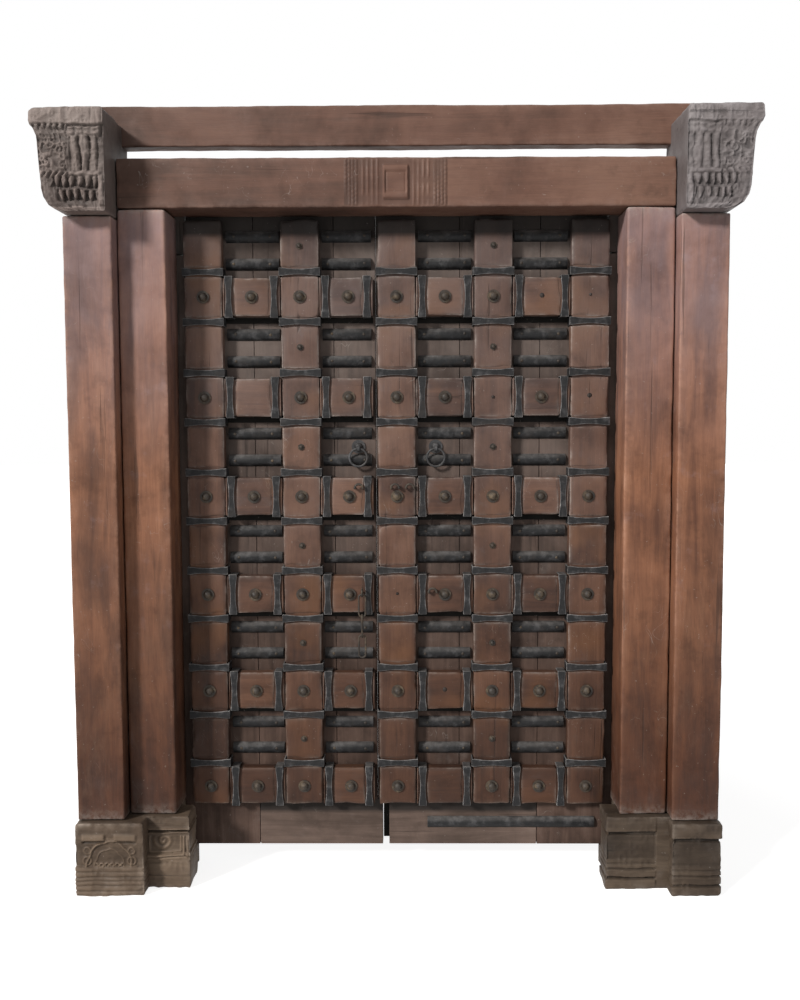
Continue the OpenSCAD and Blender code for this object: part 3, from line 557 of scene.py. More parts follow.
def build_beams():
    """Lintel with its carved panel on a finer grid, and the plain upper beam."""
    dense = np.arange(-FINE_TO, FINE_TO + 0.05 * FINE, FINE)
    coarse = axis_lines(-split_x, split_x, BEAM_CELL, LINTEL_EDGE)
    xs = np.sort(np.concatenate([coarse[np.abs(coarse) > COARSE_FROM], dense]))
    shell = Shell()
    # The own tone rises from left to right: painted light, the right end lighter as if lit from that side
    timber(shell, (-split_x, front_y, lintel_lo.z), (split_x, back_y, lintel_hi.z),
           (BEAM_CELL, 0.02, 0.004), LINTEL_EDGE, 210, chip=0.6, wave=0.0016, tone=(0.0, 1.0),
           carve=lintel_carving, lines={0: xs})
    shell.build("lower_lintel_timber", beam_wood, "frame", ["lower_lintel"])
    shell = Shell()
    # The own tone rises from left to right: painted light, the right end lighter as if lit from that side
    timber(shell, beam_lo, beam_hi, (BEAM_CELL, 0.015, 0.012), BEAM_EDGE, 230, chip=0.6, wave=0.0016,
           tone=(0.0, 1.0))
    shell.build("upper_beam_timber", beam_wood, "frame", ["upper_beam"])


# Frame: carved corbels

SLAB_H, SLAB_OVER = 0.048, 0.030
GROUND, FLAT, DEEPEST = 0.013, 0.006, 0.030
SLAB_LINES = (0.020, 0.034)
CAP_FROM, CAP_TO, CAP_H, LUMP = 0.012, 0.098, 0.034, 0.0215
DENTIL_FROM, DENTIL_PITCH, DENTIL_H = 0.10, 0.017, 0.013
REED_FROM, REED_W, REED_FOOT = 0.018, 0.0252, 0.112
SILL_LO, SILL_HI = 0.100, 0.110
LEAF_FROM, LEAF_SOFT, LEAF_FOOT = 0.100, 0.006, 0.108
# Scrolls: distance from the post joint, height, size and turn
SCROLLS = ((0.128, 0.168, 0.024, 1.0), (0.160, 0.132, 0.020, -1.0), (0.158, 0.196, 0.018, 1.0),
           (0.120, 0.125, 0.014, -1.0))
COIL_PITCH, SLANT_PITCH = 0.0105, 0.017
TOOTH_PITCH, TOOTH_H = 0.0205, 0.028
# Rows of teeth: height of the tips, outer end and shift
TOOTH_ROWS = ((0.068, 0.150, 0.0), (0.031, 0.132, 0.009))
ROLL_H = 0.013
SLIP, SMALL_SLIP = 0.0045, 0.0015
CORBEL_EDGE = 0.011


def corbel_width(b, height, full):
    """Outline of a corbel from the front: reach from the post joint at each height."""
    body = full - SLAB_OVER
    return np.interp(b, [0.0, 0.006, 0.018, 0.04, 0.064, 0.10, height - SLAB_H - 0.03,
                         height - SLAB_H - 0.008, height - SLAB_H, height - SLAB_H + 0.012, height],
                     [body - 0.060, body - 0.040, body - 0.022, body - 0.008, body - 0.002, body,
                      body + 0.008, full - 0.012, full - 0.004, full, full - 0.003])


def corbel_depth(a, b, height, worn):
    """How far the carving lies behind the front plane, at a from the joint and b from the bottom."""
    slab_z = height - SLAB_H
    depth = GROUND - GROUND * ease(b, slab_z - 0.002, slab_z + 0.004)
    for place in SLAB_LINES:
        depth += 0.003 * band(a, place - 0.002, place + 0.002) * ease(b, slab_z, slab_z + 0.004)
    # Small teeth under the slab, outside the capital
    dentil = np.abs(((a - DENTIL_FROM) / DENTIL_PITCH) % 1.0 - 0.5)
    teeth = band(b, slab_z - DENTIL_H, slab_z) * ease(a, DENTIL_FROM - 0.002, DENTIL_FROM + 0.002)
    depth -= 0.009 * teeth * ease(dentil, 0.16, 0.24)
    # Capital of lumps over three upright reeds and a sill
    cap = band(a, CAP_FROM, CAP_TO, 0.004) * band(b, slab_z - CAP_H, slab_z - 0.004, 0.003)
    lumps = np.abs(np.sin(math.pi * (a - CAP_FROM) / LUMP)) * (0.6 + 0.4 * np.sin(b * 420.0))
    depth -= cap * (0.004 + 0.008 * lumps)
    reeds = band(a, REED_FROM, REED_FROM + 3 * REED_W, 0.002) * band(b, REED_FOOT, slab_z - CAP_H)
    across = 2.0 * (((a - REED_FROM) / REED_W) % 1.0) - 1.0
    depth += reeds * (0.013 - 0.021 * np.sqrt(np.clip(1.0 - across ** 2, 0.0, 1.0)))
    depth -= 0.010 * band(a, CAP_FROM, CAP_TO, 0.004) * band(b, SILL_LO, SILL_HI)
    # Scrolled leaves on the outer part
    outside = ease(a, LEAF_FROM, LEAF_FROM + LEAF_SOFT)
    leaf = outside * band(b, LEAF_FOOT, slab_z - 0.016)
    curl = np.zeros(len(a))
    for ca, cb, size, turn in SCROLLS:
        da, db = a - ca, b - cb
        r = np.hypot(da, db) + 1e-6
        coil = 0.5 + 0.5 * np.cos(turn * np.arctan2(db, da) + 2.0 * math.pi * r / COIL_PITCH)
        curl = np.maximum(curl, coil * np.clip(1.35 - r / size, 0.0, 1.0))
    stroke = np.abs(noise(np.column_stack([a, b, 0.6 * a - 0.8 * b]), (0.017, 0.013, 0.03), 380))
    depth -= leaf * (0.005 * np.clip(curl, 0.0, 1.0) + 0.006 * (1.0 - ease(stroke, 0.05, 0.4)))
    slant = 0.5 + 0.5 * np.sin(2.0 * math.pi * (a + 0.8 * b) / SLANT_PITCH)
    depth -= 0.010 * slant * outside * band(b, 0.096, 0.109)
    # Two rows of hanging teeth
    for foot, end, shift in TOOTH_ROWS:
        v = np.clip((b - foot) / TOOTH_H, 0.0, 1.0)
        rows = band(b, foot, foot + TOOTH_H) * band(a, 0.022, end, 0.004)
        t = np.abs(((a - 0.020 - shift) / TOOTH_PITCH) % 1.0 - 0.5)
        wide = 0.46 * np.sqrt(np.clip(v, 0.04, 1.0)) * (1.0 - 0.35 * ease(v, 0.75, 1.0))
        inside = 1.0 - ease(t, wide - 0.05, wide + 0.05)
        depth += rows * (0.006 - inside * (0.014 - 0.012 * (t / 0.5) ** 2))
    # Plain edge beside the post and a roll along the bottom
    depth -= 0.011 * band(a, 0.002, REED_FROM, 0.004) * band(b, 0.016, 0.098, 0.006)
    roll = 1.0 - np.sqrt(np.clip(1.0 - (1.0 - np.clip(b / 0.014, 0.0, 1.0)) ** 2, 0.0, 1.0))
    depth += (0.002 - depth + 0.010 * roll) * (b < ROLL_H)
    return np.clip(depth + worn * (FLAT - depth), 0.0, DEEPEST)


def build_corbels():
    """Carved corbels; the right one is paler and more worn."""
    height = corbel_hi.z - corbel_lo.z
    full = corbel_hi.x - corbel_lo.x
    for seed, (side, sign) in enumerate(SIDES):
        lo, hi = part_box("%s_corbel" % side)
        joint = sign * split_x

        def carve(points, moved, normal):
            b = np.clip(moved[:, 2] - lo.z, 0.0, height)
            reach = corbel_width(b, height, full)
            a = np.clip(sign * (moved[:, 0] - joint), 0.0, full) * reach / full
            worn = 0.1 + 0.45 * np.clip(0.35 + noise(points, 0.05, 300 + seed), 0.0, 1.0) + 0.25 * seed
            front = facing(normal)
            slip_a = SLIP * noise(points, 0.034, 340 + seed) + SMALL_SLIP * noise(points, 0.011, 350 + seed)
            slip_b = SLIP * noise(points, 0.030, 360 + seed) + SMALL_SLIP * noise(points, 0.012, 370 + seed)
            depth = corbel_depth(a + slip_a, b + slip_b, height, worn)
            gouge = 0.005 * np.abs(noise(points, 0.026, 310 + seed))
            gouge += 0.003 * np.abs(noise(points, 0.010, 330))
            out = moved.copy()
            out[:, 0] = joint + sign * a
            out[:, 1] += (depth + gouge) * front
            # Deep carving darker and shallow parts paler: dirt and painted shade, wear and painted
            # highlight. The inner side faces, towards the doorway, are darker: painted shade.
            deep = np.clip((depth + gouge - 0.008) / 0.009, -0.5, 1.0)
            inner = np.clip(-sign * normal[:, 0], 0.0, 1.0) * (0.42 - 0.2 * seed)
            return out, front * deep + inner

        shell = Shell()
        lines = {0: axis_lines(lo.x, hi.x, 0.0022, 0.007), 2: axis_lines(lo.z, hi.z, 0.0024, 0.007)}
        timber(shell, lo, hi, (0.003, 0.02, 0.003), CORBEL_EDGE, 320 + 7 * seed, chip=0.6, wave=0.001,
               tone=0.5, carve=carve, lines=lines)
        shell.build("%s_corbel_carving" % side, pale_corbel_wood if seed else corbel_wood, "frame",
                    ["%s_corbel" % side])


# Frame: carved base blocks

RIDGE_H = 0.090
PANEL_TOP = 0.162
ROLL_LO, ROLL_HI = 0.178, 0.204
ROLL_MID, ROLL_R = 0.178, 0.011
FRAME_FOOT = 0.084
# Steps of the worn moulding: from, to and depth
WORN_STEPS = ((0.030, 0.037, 0.014), (0.037, 0.059, 0.003), (0.059, 0.064, 0.011), (0.064, 0.076, 0.004),
              (0.076, 0.080, 0.009), (0.080, 0.092, 0.006), (0.092, 0.164, 0.010), (0.164, 0.176, 0.019))
RIDGES = (0.004, 0.016, 0.033, 0.046, 0.058, 0.074, RIDGE_H)
FOOT_MID = 0.052
INNER_RIDGES = (0.082, 0.096, 0.110)
ARCH_R, ARC_PITCH = 0.070, 0.0155
SCROLL_AT, SCROLL_PITCH, FRAME_PITCH = (-0.004, 0.150), 0.019, 0.0105
SOCKET_R, SOCKET_DEEP, LUG_CHAMFER = 0.017, 0.03, 0.003
STEP_LAP, TOE_LAP, LUG_LAP = 0.03, 0.02, 0.04
WORN_STRIP = 0.032
RELIEF = 0.0065
BASE_EDGE, LUG_EDGE = 0.009, 0.004
LUG_R = 0.043
PIVOT_GAP = 0.005
OUTER_W = {"left": 0.210, "right": 0.152}
INNER_OUT = 0.022
TOE_BACK = 0.010


def outer_inset(z):
    """Moulding of a base's outer block: how far its faces lie behind the widest line at each height."""
    inset = np.zeros(len(z))
    for lo, hi in zip(RIDGES[:-1], RIDGES[1:]):
        inset += 0.006 * half_round(z, lo, hi) * ((z >= lo) & (z < hi))
    inset += 0.008 * band(z, RIDGE_H, PANEL_TOP) + 0.017 * band(z, PANEL_TOP + 0.002, ROLL_LO - 0.001)
    inset += 0.010 * half_round(z, ROLL_LO, ROLL_HI) * band(z, ROLL_LO, ROLL_HI)
    return inset + 0.005 * ease(z, ROLL_HI, ROLL_HI + 0.003)


def inner_inset(z):
    """Moulding of a base's inner block: a plain bulging foot, two ridges, a panel and a top fillet."""
    inset = 0.007 * ease(np.abs(z - FOOT_MID), 0.012, 0.075) * (z < 0.1)
    for lo, hi in zip(INNER_RIDGES[:-1], INNER_RIDGES[1:]):
        inset += 0.005 * half_round(z, lo, hi) * ((z >= lo) & (z < hi))
    inset += 0.009 * band(z, INNER_RIDGES[-1], 0.170) + 0.018 * band(z, 0.172, 0.180)
    return inset + 0.008 * ease(z, 0.182, 0.190)


def worn_inset(z):
    """Moulding of the right base: plinth, band, two ridges, a sunk panel and a cap over a groove."""
    inset = np.zeros(len(z))
    for lo, hi, depth in WORN_STEPS:
        inset += depth * band(z, lo, hi, 0.0012)
    return inset


def lotus_inset(z):
    """Moulding of the left outer block: ridges under a flush face, with no cap."""
    flush = 1.0 - 0.4 * ease(z, PANEL_TOP - 0.01, PANEL_TOP)
    return outer_inset(np.minimum(z, PANEL_TOP - 0.004)) * flush


def lotus(u, z, half):
    """Thin-lined scalloped arch between two rolls, over a row of small arcs: height, cut in if below 0."""
    v = z - RIDGE_H - 0.004
    r = np.hypot(u, v * 0.92)
    angle = np.arctan2(v, u)
    scallop = ARCH_R * (0.93 + 0.07 * np.abs(np.sin(3.5 * angle)))
    arch = band(r, scallop - 0.0045, scallop, 0.0012)
    inner = 0.6 * band(r, 0.66 * scallop - 0.003, 0.66 * scallop, 0.0012)
    place = ((u / ARC_PITCH) % 1.0 - 0.5) * ARC_PITCH
    arcs = band(np.hypot(place, v - 0.001), 0.004, 0.0075, 0.001) * (np.abs(u) < 0.041) * (v < 0.010)
    side = np.abs(u) - 0.066
    leaf = band(np.hypot(side, v - 0.014), 0.010, 0.0135, 0.0012)
    leaf += band(np.hypot(side, v - 0.044), 0.008, 0.0115)
    beside = band(np.abs(u), 0.014, half - 0.026, 0.004)
    roll = beside * np.sqrt(np.clip(1.0 - ((z - ROLL_MID) / ROLL_R) ** 2, 0.0, 1.0))
    groove = beside * band(z, ROLL_MID - ROLL_R - 0.008, ROLL_MID - ROLL_R - 0.002, 0.0015)
    return np.clip(np.maximum.reduce([arch, inner, arcs, 0.7 * leaf, roll]) - 1.2 * groove, -1.2, 1.0)


def scrollwork(u, z, half):
    """Nested frame lines round a sunk panel of worn scrolls, as raised height from 0 to 1."""
    across, up = u - SCROLL_AT[0], z - SCROLL_AT[1]
    inward = np.minimum(half - np.abs(u), z - FRAME_FOOT)
    lines = 0.5 + 0.5 * np.cos(2.0 * math.pi * inward / FRAME_PITCH)
    rim = (1.0 - ease(inward, 0.030, 0.034)) * lines
    r = np.hypot(across, up) + 1e-6
    coil = 0.5 + 0.5 * np.cos(np.arctan2(up, across) + 2.0 * math.pi * r / SCROLL_PITCH)
    return np.clip(np.maximum(rim, 0.8 * coil * np.clip(1.6 - r / 0.024, 0.0, 1.0)), 0.0, 1.0)


def plain(u, z, half):
    """No relief, for the blocks whose carving is worn away."""
    return np.zeros(len(u))


def build_bases():
    """Base blocks in three stepped parts, with a round lug under each leaf's pintle."""
    for seed, (side, sign) in enumerate(SIDES):
        lo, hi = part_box("%s_base" % side)
        outer_x = sign * max(abs(lo.x), abs(hi.x))
        inner_x = sign * min(abs(lo.x), abs(hi.x))
        step_x = outer_x - sign * OUTER_W[side]
        inner_front = front_y - INNER_OUT
        toe_back = face_y - TOE_BACK
        shell = Shell()

        def block(x0, x1, y0, y1, profile, relief, worn, shift, strip=0.0, face_top=PANEL_TOP - 0.001):
            left, right = min(x0, x1), max(x0, x1)
            middle, half = 0.5 * (left + right), 0.5 * (right - left)

            def carve(points, moved, normal):
                z = np.clip(moved[:, 2] + 0.0025 * noise(points, 0.05, 430 + seed + shift), 0.0, base_top)
                front = facing(normal)
                wear = np.clip(worn + 0.5 * noise(points, 0.042, 400 + seed + shift), 0.0, 0.95)
                inset = profile(z) * (1.0 - 0.7 * wear) + 0.004 * wear
                u = moved[:, 0] - middle + 0.002 * noise(points, 0.03, 440 + seed)
                panel = band(z, RIDGE_H + 0.001, face_top) * front
                raised = panel * (1.0 - 0.7 * wear) * relief(u, z, half)
                inset = inset - RELIEF * raised
                inset = inset + 0.003 * np.abs(noise(points, 0.016, 450 + seed)) * (0.3 + wear)
                flush = band(np.abs(moved[:, 0] - step_x), -1.0, strip) * front if strip else 0.0
                inset = inset + flush * (0.005 - inset)
                flat = normal.copy()
                flat[:, 2] = 0.0
                flat[:, 0] *= 0.5
                out = moved - flat * inset[:, None]
                # Deep hollows darker (dirt and painted shade); raised carving and front crests paler (wear
                # and painted highlight)
                hollow_dirt_and_shade = np.clip((inset - 0.005) / 0.010, 0.0, 1.0) * (np.abs(flat).max(axis=1) > 0.5)
                ridge = np.clip(1.0 - inset / 0.004, 0.0, 1.0) * front * (1.0 - wear)
                return out, 0.9 * hollow_dirt_and_shade - 0.7 * np.clip(np.maximum(raised, 0.6 * ridge), 0.0, 1.0)

            lines = {0: axis_lines(left, right, 0.0024, 0.008), 2: axis_lines(0.0, base_top, 0.0022, 0.006)}
            timber(shell, (left, y0, 0.0), (right, y1, base_top), (0.003, 0.012, 0.003), BASE_EDGE,
                   420 + 11 * seed + shift, chip=0.8, wave=0.0012, tone=0.5, carve=carve, lines=lines)

        block(outer_x, step_x, lo.y, back_y, worn_inset if seed else lotus_inset, plain if seed else lotus,
              0.1 + 0.2 * seed, 0, face_top=base_top - 0.012)
        block(step_x + sign * STEP_LAP, inner_x, inner_front, toe_back, worn_inset if seed else inner_inset,
              plain if seed else scrollwork, 0.2 + 0.1 * seed, 1, strip=WORN_STRIP * seed)
        block(step_x, sign * jamb_x, toe_back - TOE_LAP, back_y, outer_inset, plain, 0.5, 2)
        pivot = pivots["%s_leaf_swing" % side]
        lug_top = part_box("%s_foot_board" % side)[0].z - PIVOT_GAP
        timber(shell, (pivot[0] - LUG_R, toe_back - LUG_LAP, 0.0), (pivot[0] + LUG_R, pivot[1], lug_top),
               (0.015, 0.015, 0.02), LUG_EDGE, 470 + seed, tone=0.4)
        lathe(shell, (pivot[0], pivot[1], 0.0), (0, 0, 1),
              [(0.0, 0.0), (LUG_R - LUG_CHAMFER, 0.0), (LUG_R, LUG_CHAMFER), (LUG_R, lug_top - LUG_CHAMFER),
               (LUG_R - LUG_CHAMFER, lug_top), (SOCKET_R, lug_top), (SOCKET_R, lug_top - SOCKET_DEEP)],
              32, 0.4)
        # The right base takes the darker copy of the base colours: painted shade
        shell.build("%s_base_carving" % side, worn_base_wood if seed else base_wood, "frame",
                    ["%s_base" % side])


# Leaves: battens and rails between their straps

def batten_spans(lo, hi):
    """Lengths of a batten between its straps, from the bottom up."""
    starts, stops = [lo], []
    for n, (rail_lo, rail_hi) in enumerate(rail_boxes):
        for place in ([] if n == 0 else [rail_lo.z - BATTEN_STRAP_OFF]) + [rail_hi.z + BATTEN_STRAP_OFF]:
            stops.append(place - STRAP_HALF)
            starts.append(place + STRAP_HALF)
    return list(zip(starts, stops + [hi]))


CORE_IN, CORE_BACK, CORE_END, CORE_EDGE = 0.003, 0.004, 0.002, 0.004
SKIN_BACK = 0.0005
SHORTEST_RAIL = 0.05
BLOCK = dict(cell=(0.009, 0.012, 0.009), edge=0.0075, chip=0.75, wave=0.0014, crown=0.0022)


def build_leaf(side, seed):
    """Battens and rails as worn blocks between the straps, over a plain core that fills the joints."""
    body = side + "_leaf"
    columns = []
    for n, node in enumerate(BATTENS[side]):
        lo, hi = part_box(node)
        columns.append((lo.x, hi.x))
        shell = Shell()
        timber(shell, (lo.x + CORE_IN, lo.y + CORE_BACK, lo.z + CORE_END),
               (hi.x - CORE_IN, hi.y, hi.z - CORE_END), (0.02, 0.015, 0.03), CORE_EDGE,
               seed + 31 * n, tone=0.3)
        for m, (z0, z1) in enumerate(batten_spans(lo.z, hi.z)):
            timber(shell, (lo.x, lo.y, z0), (hi.x, hi.y - SKIN_BACK, z1), seed=seed + 31 * n + 3 * m + 5,
                   **BLOCK)
        shell.build(node + "_timber", batten_wood, body, [node])
    for k in range(RAILS):
        node = "%s_rail_%d" % (side, k + 1)
        lo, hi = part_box(node)
        gaps = [lo.x] + [x for pair in sorted(columns) for x in pair] + [hi.x]
        shell = Shell()
        for n, (x0, x1) in enumerate(zip(gaps[::2], gaps[1::2])):
            if x1 - x0 < SHORTEST_RAIL:
                continue
            timber(shell, (x0, lo.y + CORE_BACK, lo.z + CORE_IN), (x1, hi.y, hi.z - CORE_IN),
                   (0.03, 0.015, 0.02), CORE_EDGE, seed + 400 + 13 * k + n, tone=0.3)
            inner = RAIL_STRAP_OFF + STRAP_HALF
            for m, (u0, u1) in enumerate(((x0, x0 + inner - 2 * STRAP_HALF), (x0 + inner, x1 - inner),
                                          (x1 - inner + 2 * STRAP_HALF, x1))):
                timber(shell, (u0, lo.y, lo.z), (u1, hi.y - SKIN_BACK, hi.z),
                       seed=seed + 500 + 29 * k + 7 * n + m, **BLOCK)
        shell.build(node + "_timber", rail_wood, body, [node])


# Leaves: dirt in the seams, painted shade under the rails and in the slit, nail heads and the marks of lost
# studs, by column and rail

MARKS = ((7, 6, "hole"), (8, 6, "nail"), (6, 5, "nail"), (8, 5, "hole"), (4, 3, "nail"), (5, 2, "hole"))
COLUMN_PITCH = 0.145
RECESS_STRAP_PITCH = 0.082
NAIL_IN, NAIL_SLIP = 0.030, 0.012
SEAM_IN, SEAM_HALF, SEAM_END = 0.001, 0.002, 0.004
SLIT_FREE, SLIT_HALF, SLIT_NOTCH = 0.0015, 0.003, 0.014
CORNER_OUT, CORNER_H, CORNER_EDGE = 0.004, 0.019, 0.002
PROFILES = {"nail": ((0.0045, 0.004), (0.0045, 0.0), (0.0035, -0.0012), (0.0, -0.0018)),
            "hole": ((0.007, 0.004), (0.007, 0.0006), (0.0, 0.0006))}


def build_seams(side):
    """Dirt packed in the seams between a leaf's planks."""
    shell = Shell()
    planks = sorted((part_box("%s_%s_plank" % (side, kind)) for kind in ("stile", "middle", "meeting")),
                    key=lambda box: box[0].x + box[1].x)
    for (lo, hi), (next_lo, next_hi) in zip(planks[:-1], planks[1:]):
        middle = 0.5 * (hi.y + plank_y)
        foot, top = max(lo.z, next_lo.z), min(hi.z, next_hi.z)
        points, quads = lattice(np.array((hi.x - SEAM_IN, next_lo.x + SEAM_IN)),
                                np.array((middle - SEAM_HALF, middle + SEAM_HALF)),
                                np.array((foot + SEAM_END, top - SEAM_END)))
        shell.add(points, quads, tone=0.2, cavity=0.6)
    shell.build("%s_seams" % side, dark_wood, side + "_leaf")


def build_slit():
    """Dark strip on the free edge of the right foot board, nearly closing the slit: painted shade in the
    gap.
    """
    left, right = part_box("left_foot_board"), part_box("right_foot_board")
    middle = pivots["right_leaf_swing"][1]
    shell = Shell()
    timber(shell, (left[1].x + SLIT_FREE, middle - SLIT_HALF, right[0].z + SLIT_NOTCH),
           (right[0].x + SEAM_IN, middle + SLIT_HALF, right[1].z - SEAM_IN), (0.006, 0.004, 0.01), 0.0015,
           760, chip=0.5, wave=0.0004, tone=0.2)
    shell.build("right_slit_dirt", soot, "right_leaf")


def recess_edges(side):
    """Sides in x of a leaf's recesses: from batten to batten, and on the left to the rails' free end."""
    boxes = [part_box(node) for node in BATTENS[side]]
    stops = [box[0].x for box in boxes[1:]]
    if side == "left":
        stops.append(rail_boxes[0][1].x)
    return list(zip([box[1].x for box in boxes], stops))


def build_corners(side):
    """Black strips on the planks under each rail: painted shadow of the rails."""
    shell = Shell()
    for k, (rail_lo, _) in enumerate(rail_boxes[1:]):
        for n, (x0, x1) in enumerate(recess_edges(side)):
            timber(shell, (x0 + SEAM_IN, plank_y - CORNER_OUT, rail_lo.z - CORNER_H),
                   (x1 - SEAM_IN, plank_y + SEAM_IN, rail_lo.z), (0.008, 0.004, 0.004), CORNER_EDGE,
                   700 + 9 * k + n, chip=0.9, tone=0.0)
    shell.build("%s_corner_dirt" % side, soot, side + "_leaf")


def build_nails(side):
    """Nail heads near the ends of the recess straps."""
    shell = Shell()
    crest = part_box("%s_recess_straps" % side)[0].y
    tops = [box[0].z for box in rail_boxes[1:]] + [leaf_top]
    for k, (rail, top) in enumerate(zip(rail_boxes, tops)):
        for step in (-0.5, 0.5):
            z = 0.5 * (rail[1].z + top) + step * RECESS_STRAP_PITCH
            for n, (x0, x1) in enumerate(recess_edges(side)):
                for place in (x0 + NAIL_IN, x1 - NAIL_IN):
                    slip = NAIL_SLIP * (scatter(k, n, int(1000 * abs(place)), 7) - 0.5)
                    centre = (place + slip, crest, z + 0.3 * slip)
                    lathe(shell, centre, (0, 1, 0), PROFILES["nail"], 10, 0.4)
    shell.build("%s_strap_nails" % side, stud_iron, side + "_leaf")


def build_marks():
    """Bare nails and open holes where the right leaf has lost its studs."""
    shell = Shell()
    for column, rail, kind in MARKS:
        lo, hi = rail_boxes[rail - 1]
        place = ((column - 4) * COLUMN_PITCH, face_y, 0.5 * (lo.z + hi.z) + 0.002 * (column % 3))
        lathe(shell, place, (0, 1, 0), PROFILES[kind], 12, 0.3)
    shell.build("right_leaf_marks", dark_wood, "right_leaf")


# Carried-over nodes: finish and softened edges

def dress(node, material, bevel=0.0, rim=None):
    """Give a node its material and, where asked, softened edges that may have a material of their own."""
    piece = bpy.data.objects[node]
    piece.data.materials.clear()
    piece.data.materials.append(material)
    if bevel:
        piece.modifiers.new("join", "WELD").merge_threshold = 1e-5
        soften = piece.modifiers.new("soften", "BEVEL")
        soften.width = bevel
        soften.segments = 2
        soften.limit_method = "ANGLE"
        soften.angle_limit = math.radians(35.0)
        # The rim material on bevelled edges is a painted highlight and rubbed wear
        if rim:
            piece.data.materials.append(rim)
            soften.material = 1


def dress_nodes():
    """Finish each node that no piece of the scene stands for, by its material slot."""
    finishes = {"plank_wood": (plank_wood, 0.0015), "pivot_wood": (dark_wood, 0.002),
                "strap_iron": (strap_iron, 0.0016, strap_rim), "stud_iron": (stud_iron, 0.0)}
    replaced = {"frame_wood", "leaf_wood", "carved_wood"}
    for row in frame["record"]["subparts"]:
        if row["material_slot"] not in replaced:
            dress(row["node"], *finishes[row["material_slot"]])
    for side, _ in SIDES:
        dress("%s_foot_board" % side, foot_wood)
        for kind in ("ring_boss", "pull_ring"):
            dress("%s_%s" % (side, kind), ring_iron)


# Stage

CAMERA_FOCUS = 1050.0
PICTURE_W = 800.0
CAMERA_AT = Vector((0.0375, front_y - 3.070, 1.403))
YAW, PITCH, ROLL = -0.009, -0.076, -0.003
SENSOR_W = 36.0
SIDE_LIGHT, FRONT_LIGHT, KEY_LIGHT = 0.14, 0.54, 3.6
KEY_FROM = (-0.95, -1.0, 0.7)
FLOOR_REACH, FADE_FROM, FADE_TO = 30.0, 1.4, 2.6


def build_camera():
    """Camera where the photo was taken from."""
    ahead = Vector((math.sin(YAW) * math.cos(PITCH), math.cos(YAW) * math.cos(PITCH), math.sin(PITCH)))
    level = Vector((math.cos(YAW), -math.sin(YAW), 0.0))
    right = level * math.cos(ROLL) + level.cross(ahead) * math.sin(ROLL)
    up = right.cross(ahead)
    data = bpy.data.cameras.new("camera")
    data.sensor_fit = "HORIZONTAL"
    data.sensor_width = SENSOR_W
    data.lens = SENSOR_W * CAMERA_FOCUS / PICTURE_W
    data.clip_end = 200.0
    camera = bpy.data.objects.new("camera", data)
    camera.matrix_world = Matrix.Translation(CAMERA_AT) @ Matrix((right, up, -ahead)).transposed().to_4x4()
    scene.collection.objects.link(camera)
    scene.camera = camera


def add_lamp(name, kind, energy, direction, **settings):
    """Lamp that shines from the given direction, seen from the door."""
    data = bpy.data.lights.new(name, kind)
    data.energy = energy
    for key, value in settings.items():
        setattr(data, key, value)
    lamp = bpy.data.objects.new(name, data)
    toward = Vector(direction)
    lamp.location = toward.normalized() * 5.0 + Vector((0.0, 0.0, 1.2))
    lamp.rotation_euler = toward.to_track_quat("Z", "Y").to_euler()
    scene.collection.objects.link(lamp)


def seen_directly(tree):
    """1 for rays that should find the plain white studio: camera, glossy and transmission rays."""
    path = tree.nodes.new("ShaderNodeLightPath")
    total = path.outputs["Is Camera Ray"]
    for name in ("Is Glossy Ray", "Is Transmission Ray"):
        join = tree.nodes.new("ShaderNodeMath")
        join.operation = "MAXIMUM"
        tree.links.new(total, join.inputs[0])
        tree.links.new(path.outputs[name], join.inputs[1])
        total = join.outputs[0]
    return total


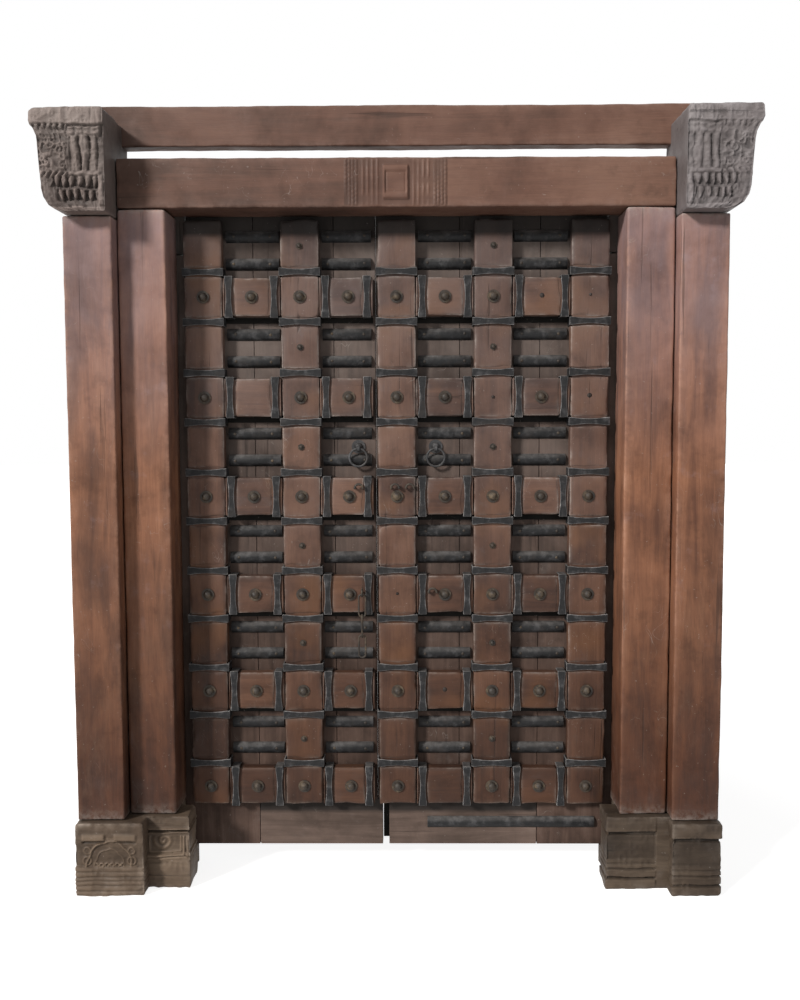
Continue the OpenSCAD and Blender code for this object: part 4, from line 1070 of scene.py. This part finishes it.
def build_stage():
    """White studio that lights mostly from the front, a floor for shadows, and the key light."""
    world = bpy.data.worlds.new("studio")
    scene.world = world
    world.use_nodes = True
    tree = world.node_tree
    back = tree.nodes["Background"]
    back.inputs["Color"].default_value = (1.0, 1.0, 1.0, 1.0)
    toward = tree.nodes.new("ShaderNodeSeparateXYZ")
    tree.links.new(tree.nodes.new("ShaderNodeTexCoord").outputs["Generated"], toward.inputs[0])
    front = tree.nodes.new("ShaderNodeMapRange")
    front.interpolation_type = "SMOOTHSTEP"
    for n, value in ((1, 0.25), (2, -1.0), (3, SIDE_LIGHT), (4, FRONT_LIGHT)):
        front.inputs[n].default_value = value
    tree.links.new(toward.outputs["Y"], front.inputs[0])
    strength = tree.nodes.new("ShaderNodeMapRange")
    tree.links.new(front.outputs[0], strength.inputs[3])
    strength.inputs[4].default_value = 1.0
    tree.links.new(seen_directly(tree), strength.inputs[0])
    tree.links.new(strength.outputs[0], back.inputs["Strength"])

    mesh = bpy.data.meshes.new("floor")
    corners = [(FLOOR_REACH * x, FLOOR_REACH * y, 0) for x, y in ((-1, -1), (1, -1), (1, 1), (-1, 1))]
    mesh.from_pydata(corners, [], [(0, 1, 2, 3)])
    floor = bpy.data.objects.new("floor", mesh)
    scene.collection.objects.link(floor)
    p = Paint("floor_paint")
    away = p.make("VectorMath", {0: p.place}, operation="LENGTH").outputs["Value"]
    far = p.fit(away, FADE_FROM, FADE_TO)
    glow = p.math("MULTIPLY", seen_directly(p.tree), p.fit(far, 0.0, 1.0, 0.84, 1.0))
    light = p.make("Emission", {"Strength": glow}).outputs[0]
    matt = p.make("BsdfDiffuse", {"Color": (0.62, 0.61, 0.6, 1.0)}).outputs[0]
    p.make("OutputMaterial", {"Surface": p.make("AddShader", {0: light, 1: matt}).outputs[0]})
    mesh.materials.append(p.material)

    add_lamp("key", "SUN", KEY_LIGHT, KEY_FROM, angle=0.16, color=(1.0, 0.965, 0.92))


build_camera()
build_posts()
build_beams()
build_corbels()
build_bases()
build_leaf("left", 1000)
build_leaf("right", 3000)
build_marks()
build_slit()
for side, _ in SIDES:
    build_nails(side)
    build_corners(side)
    build_seams(side)
dress_nodes()
build_stage()
scene.view_settings.view_transform = "Standard"
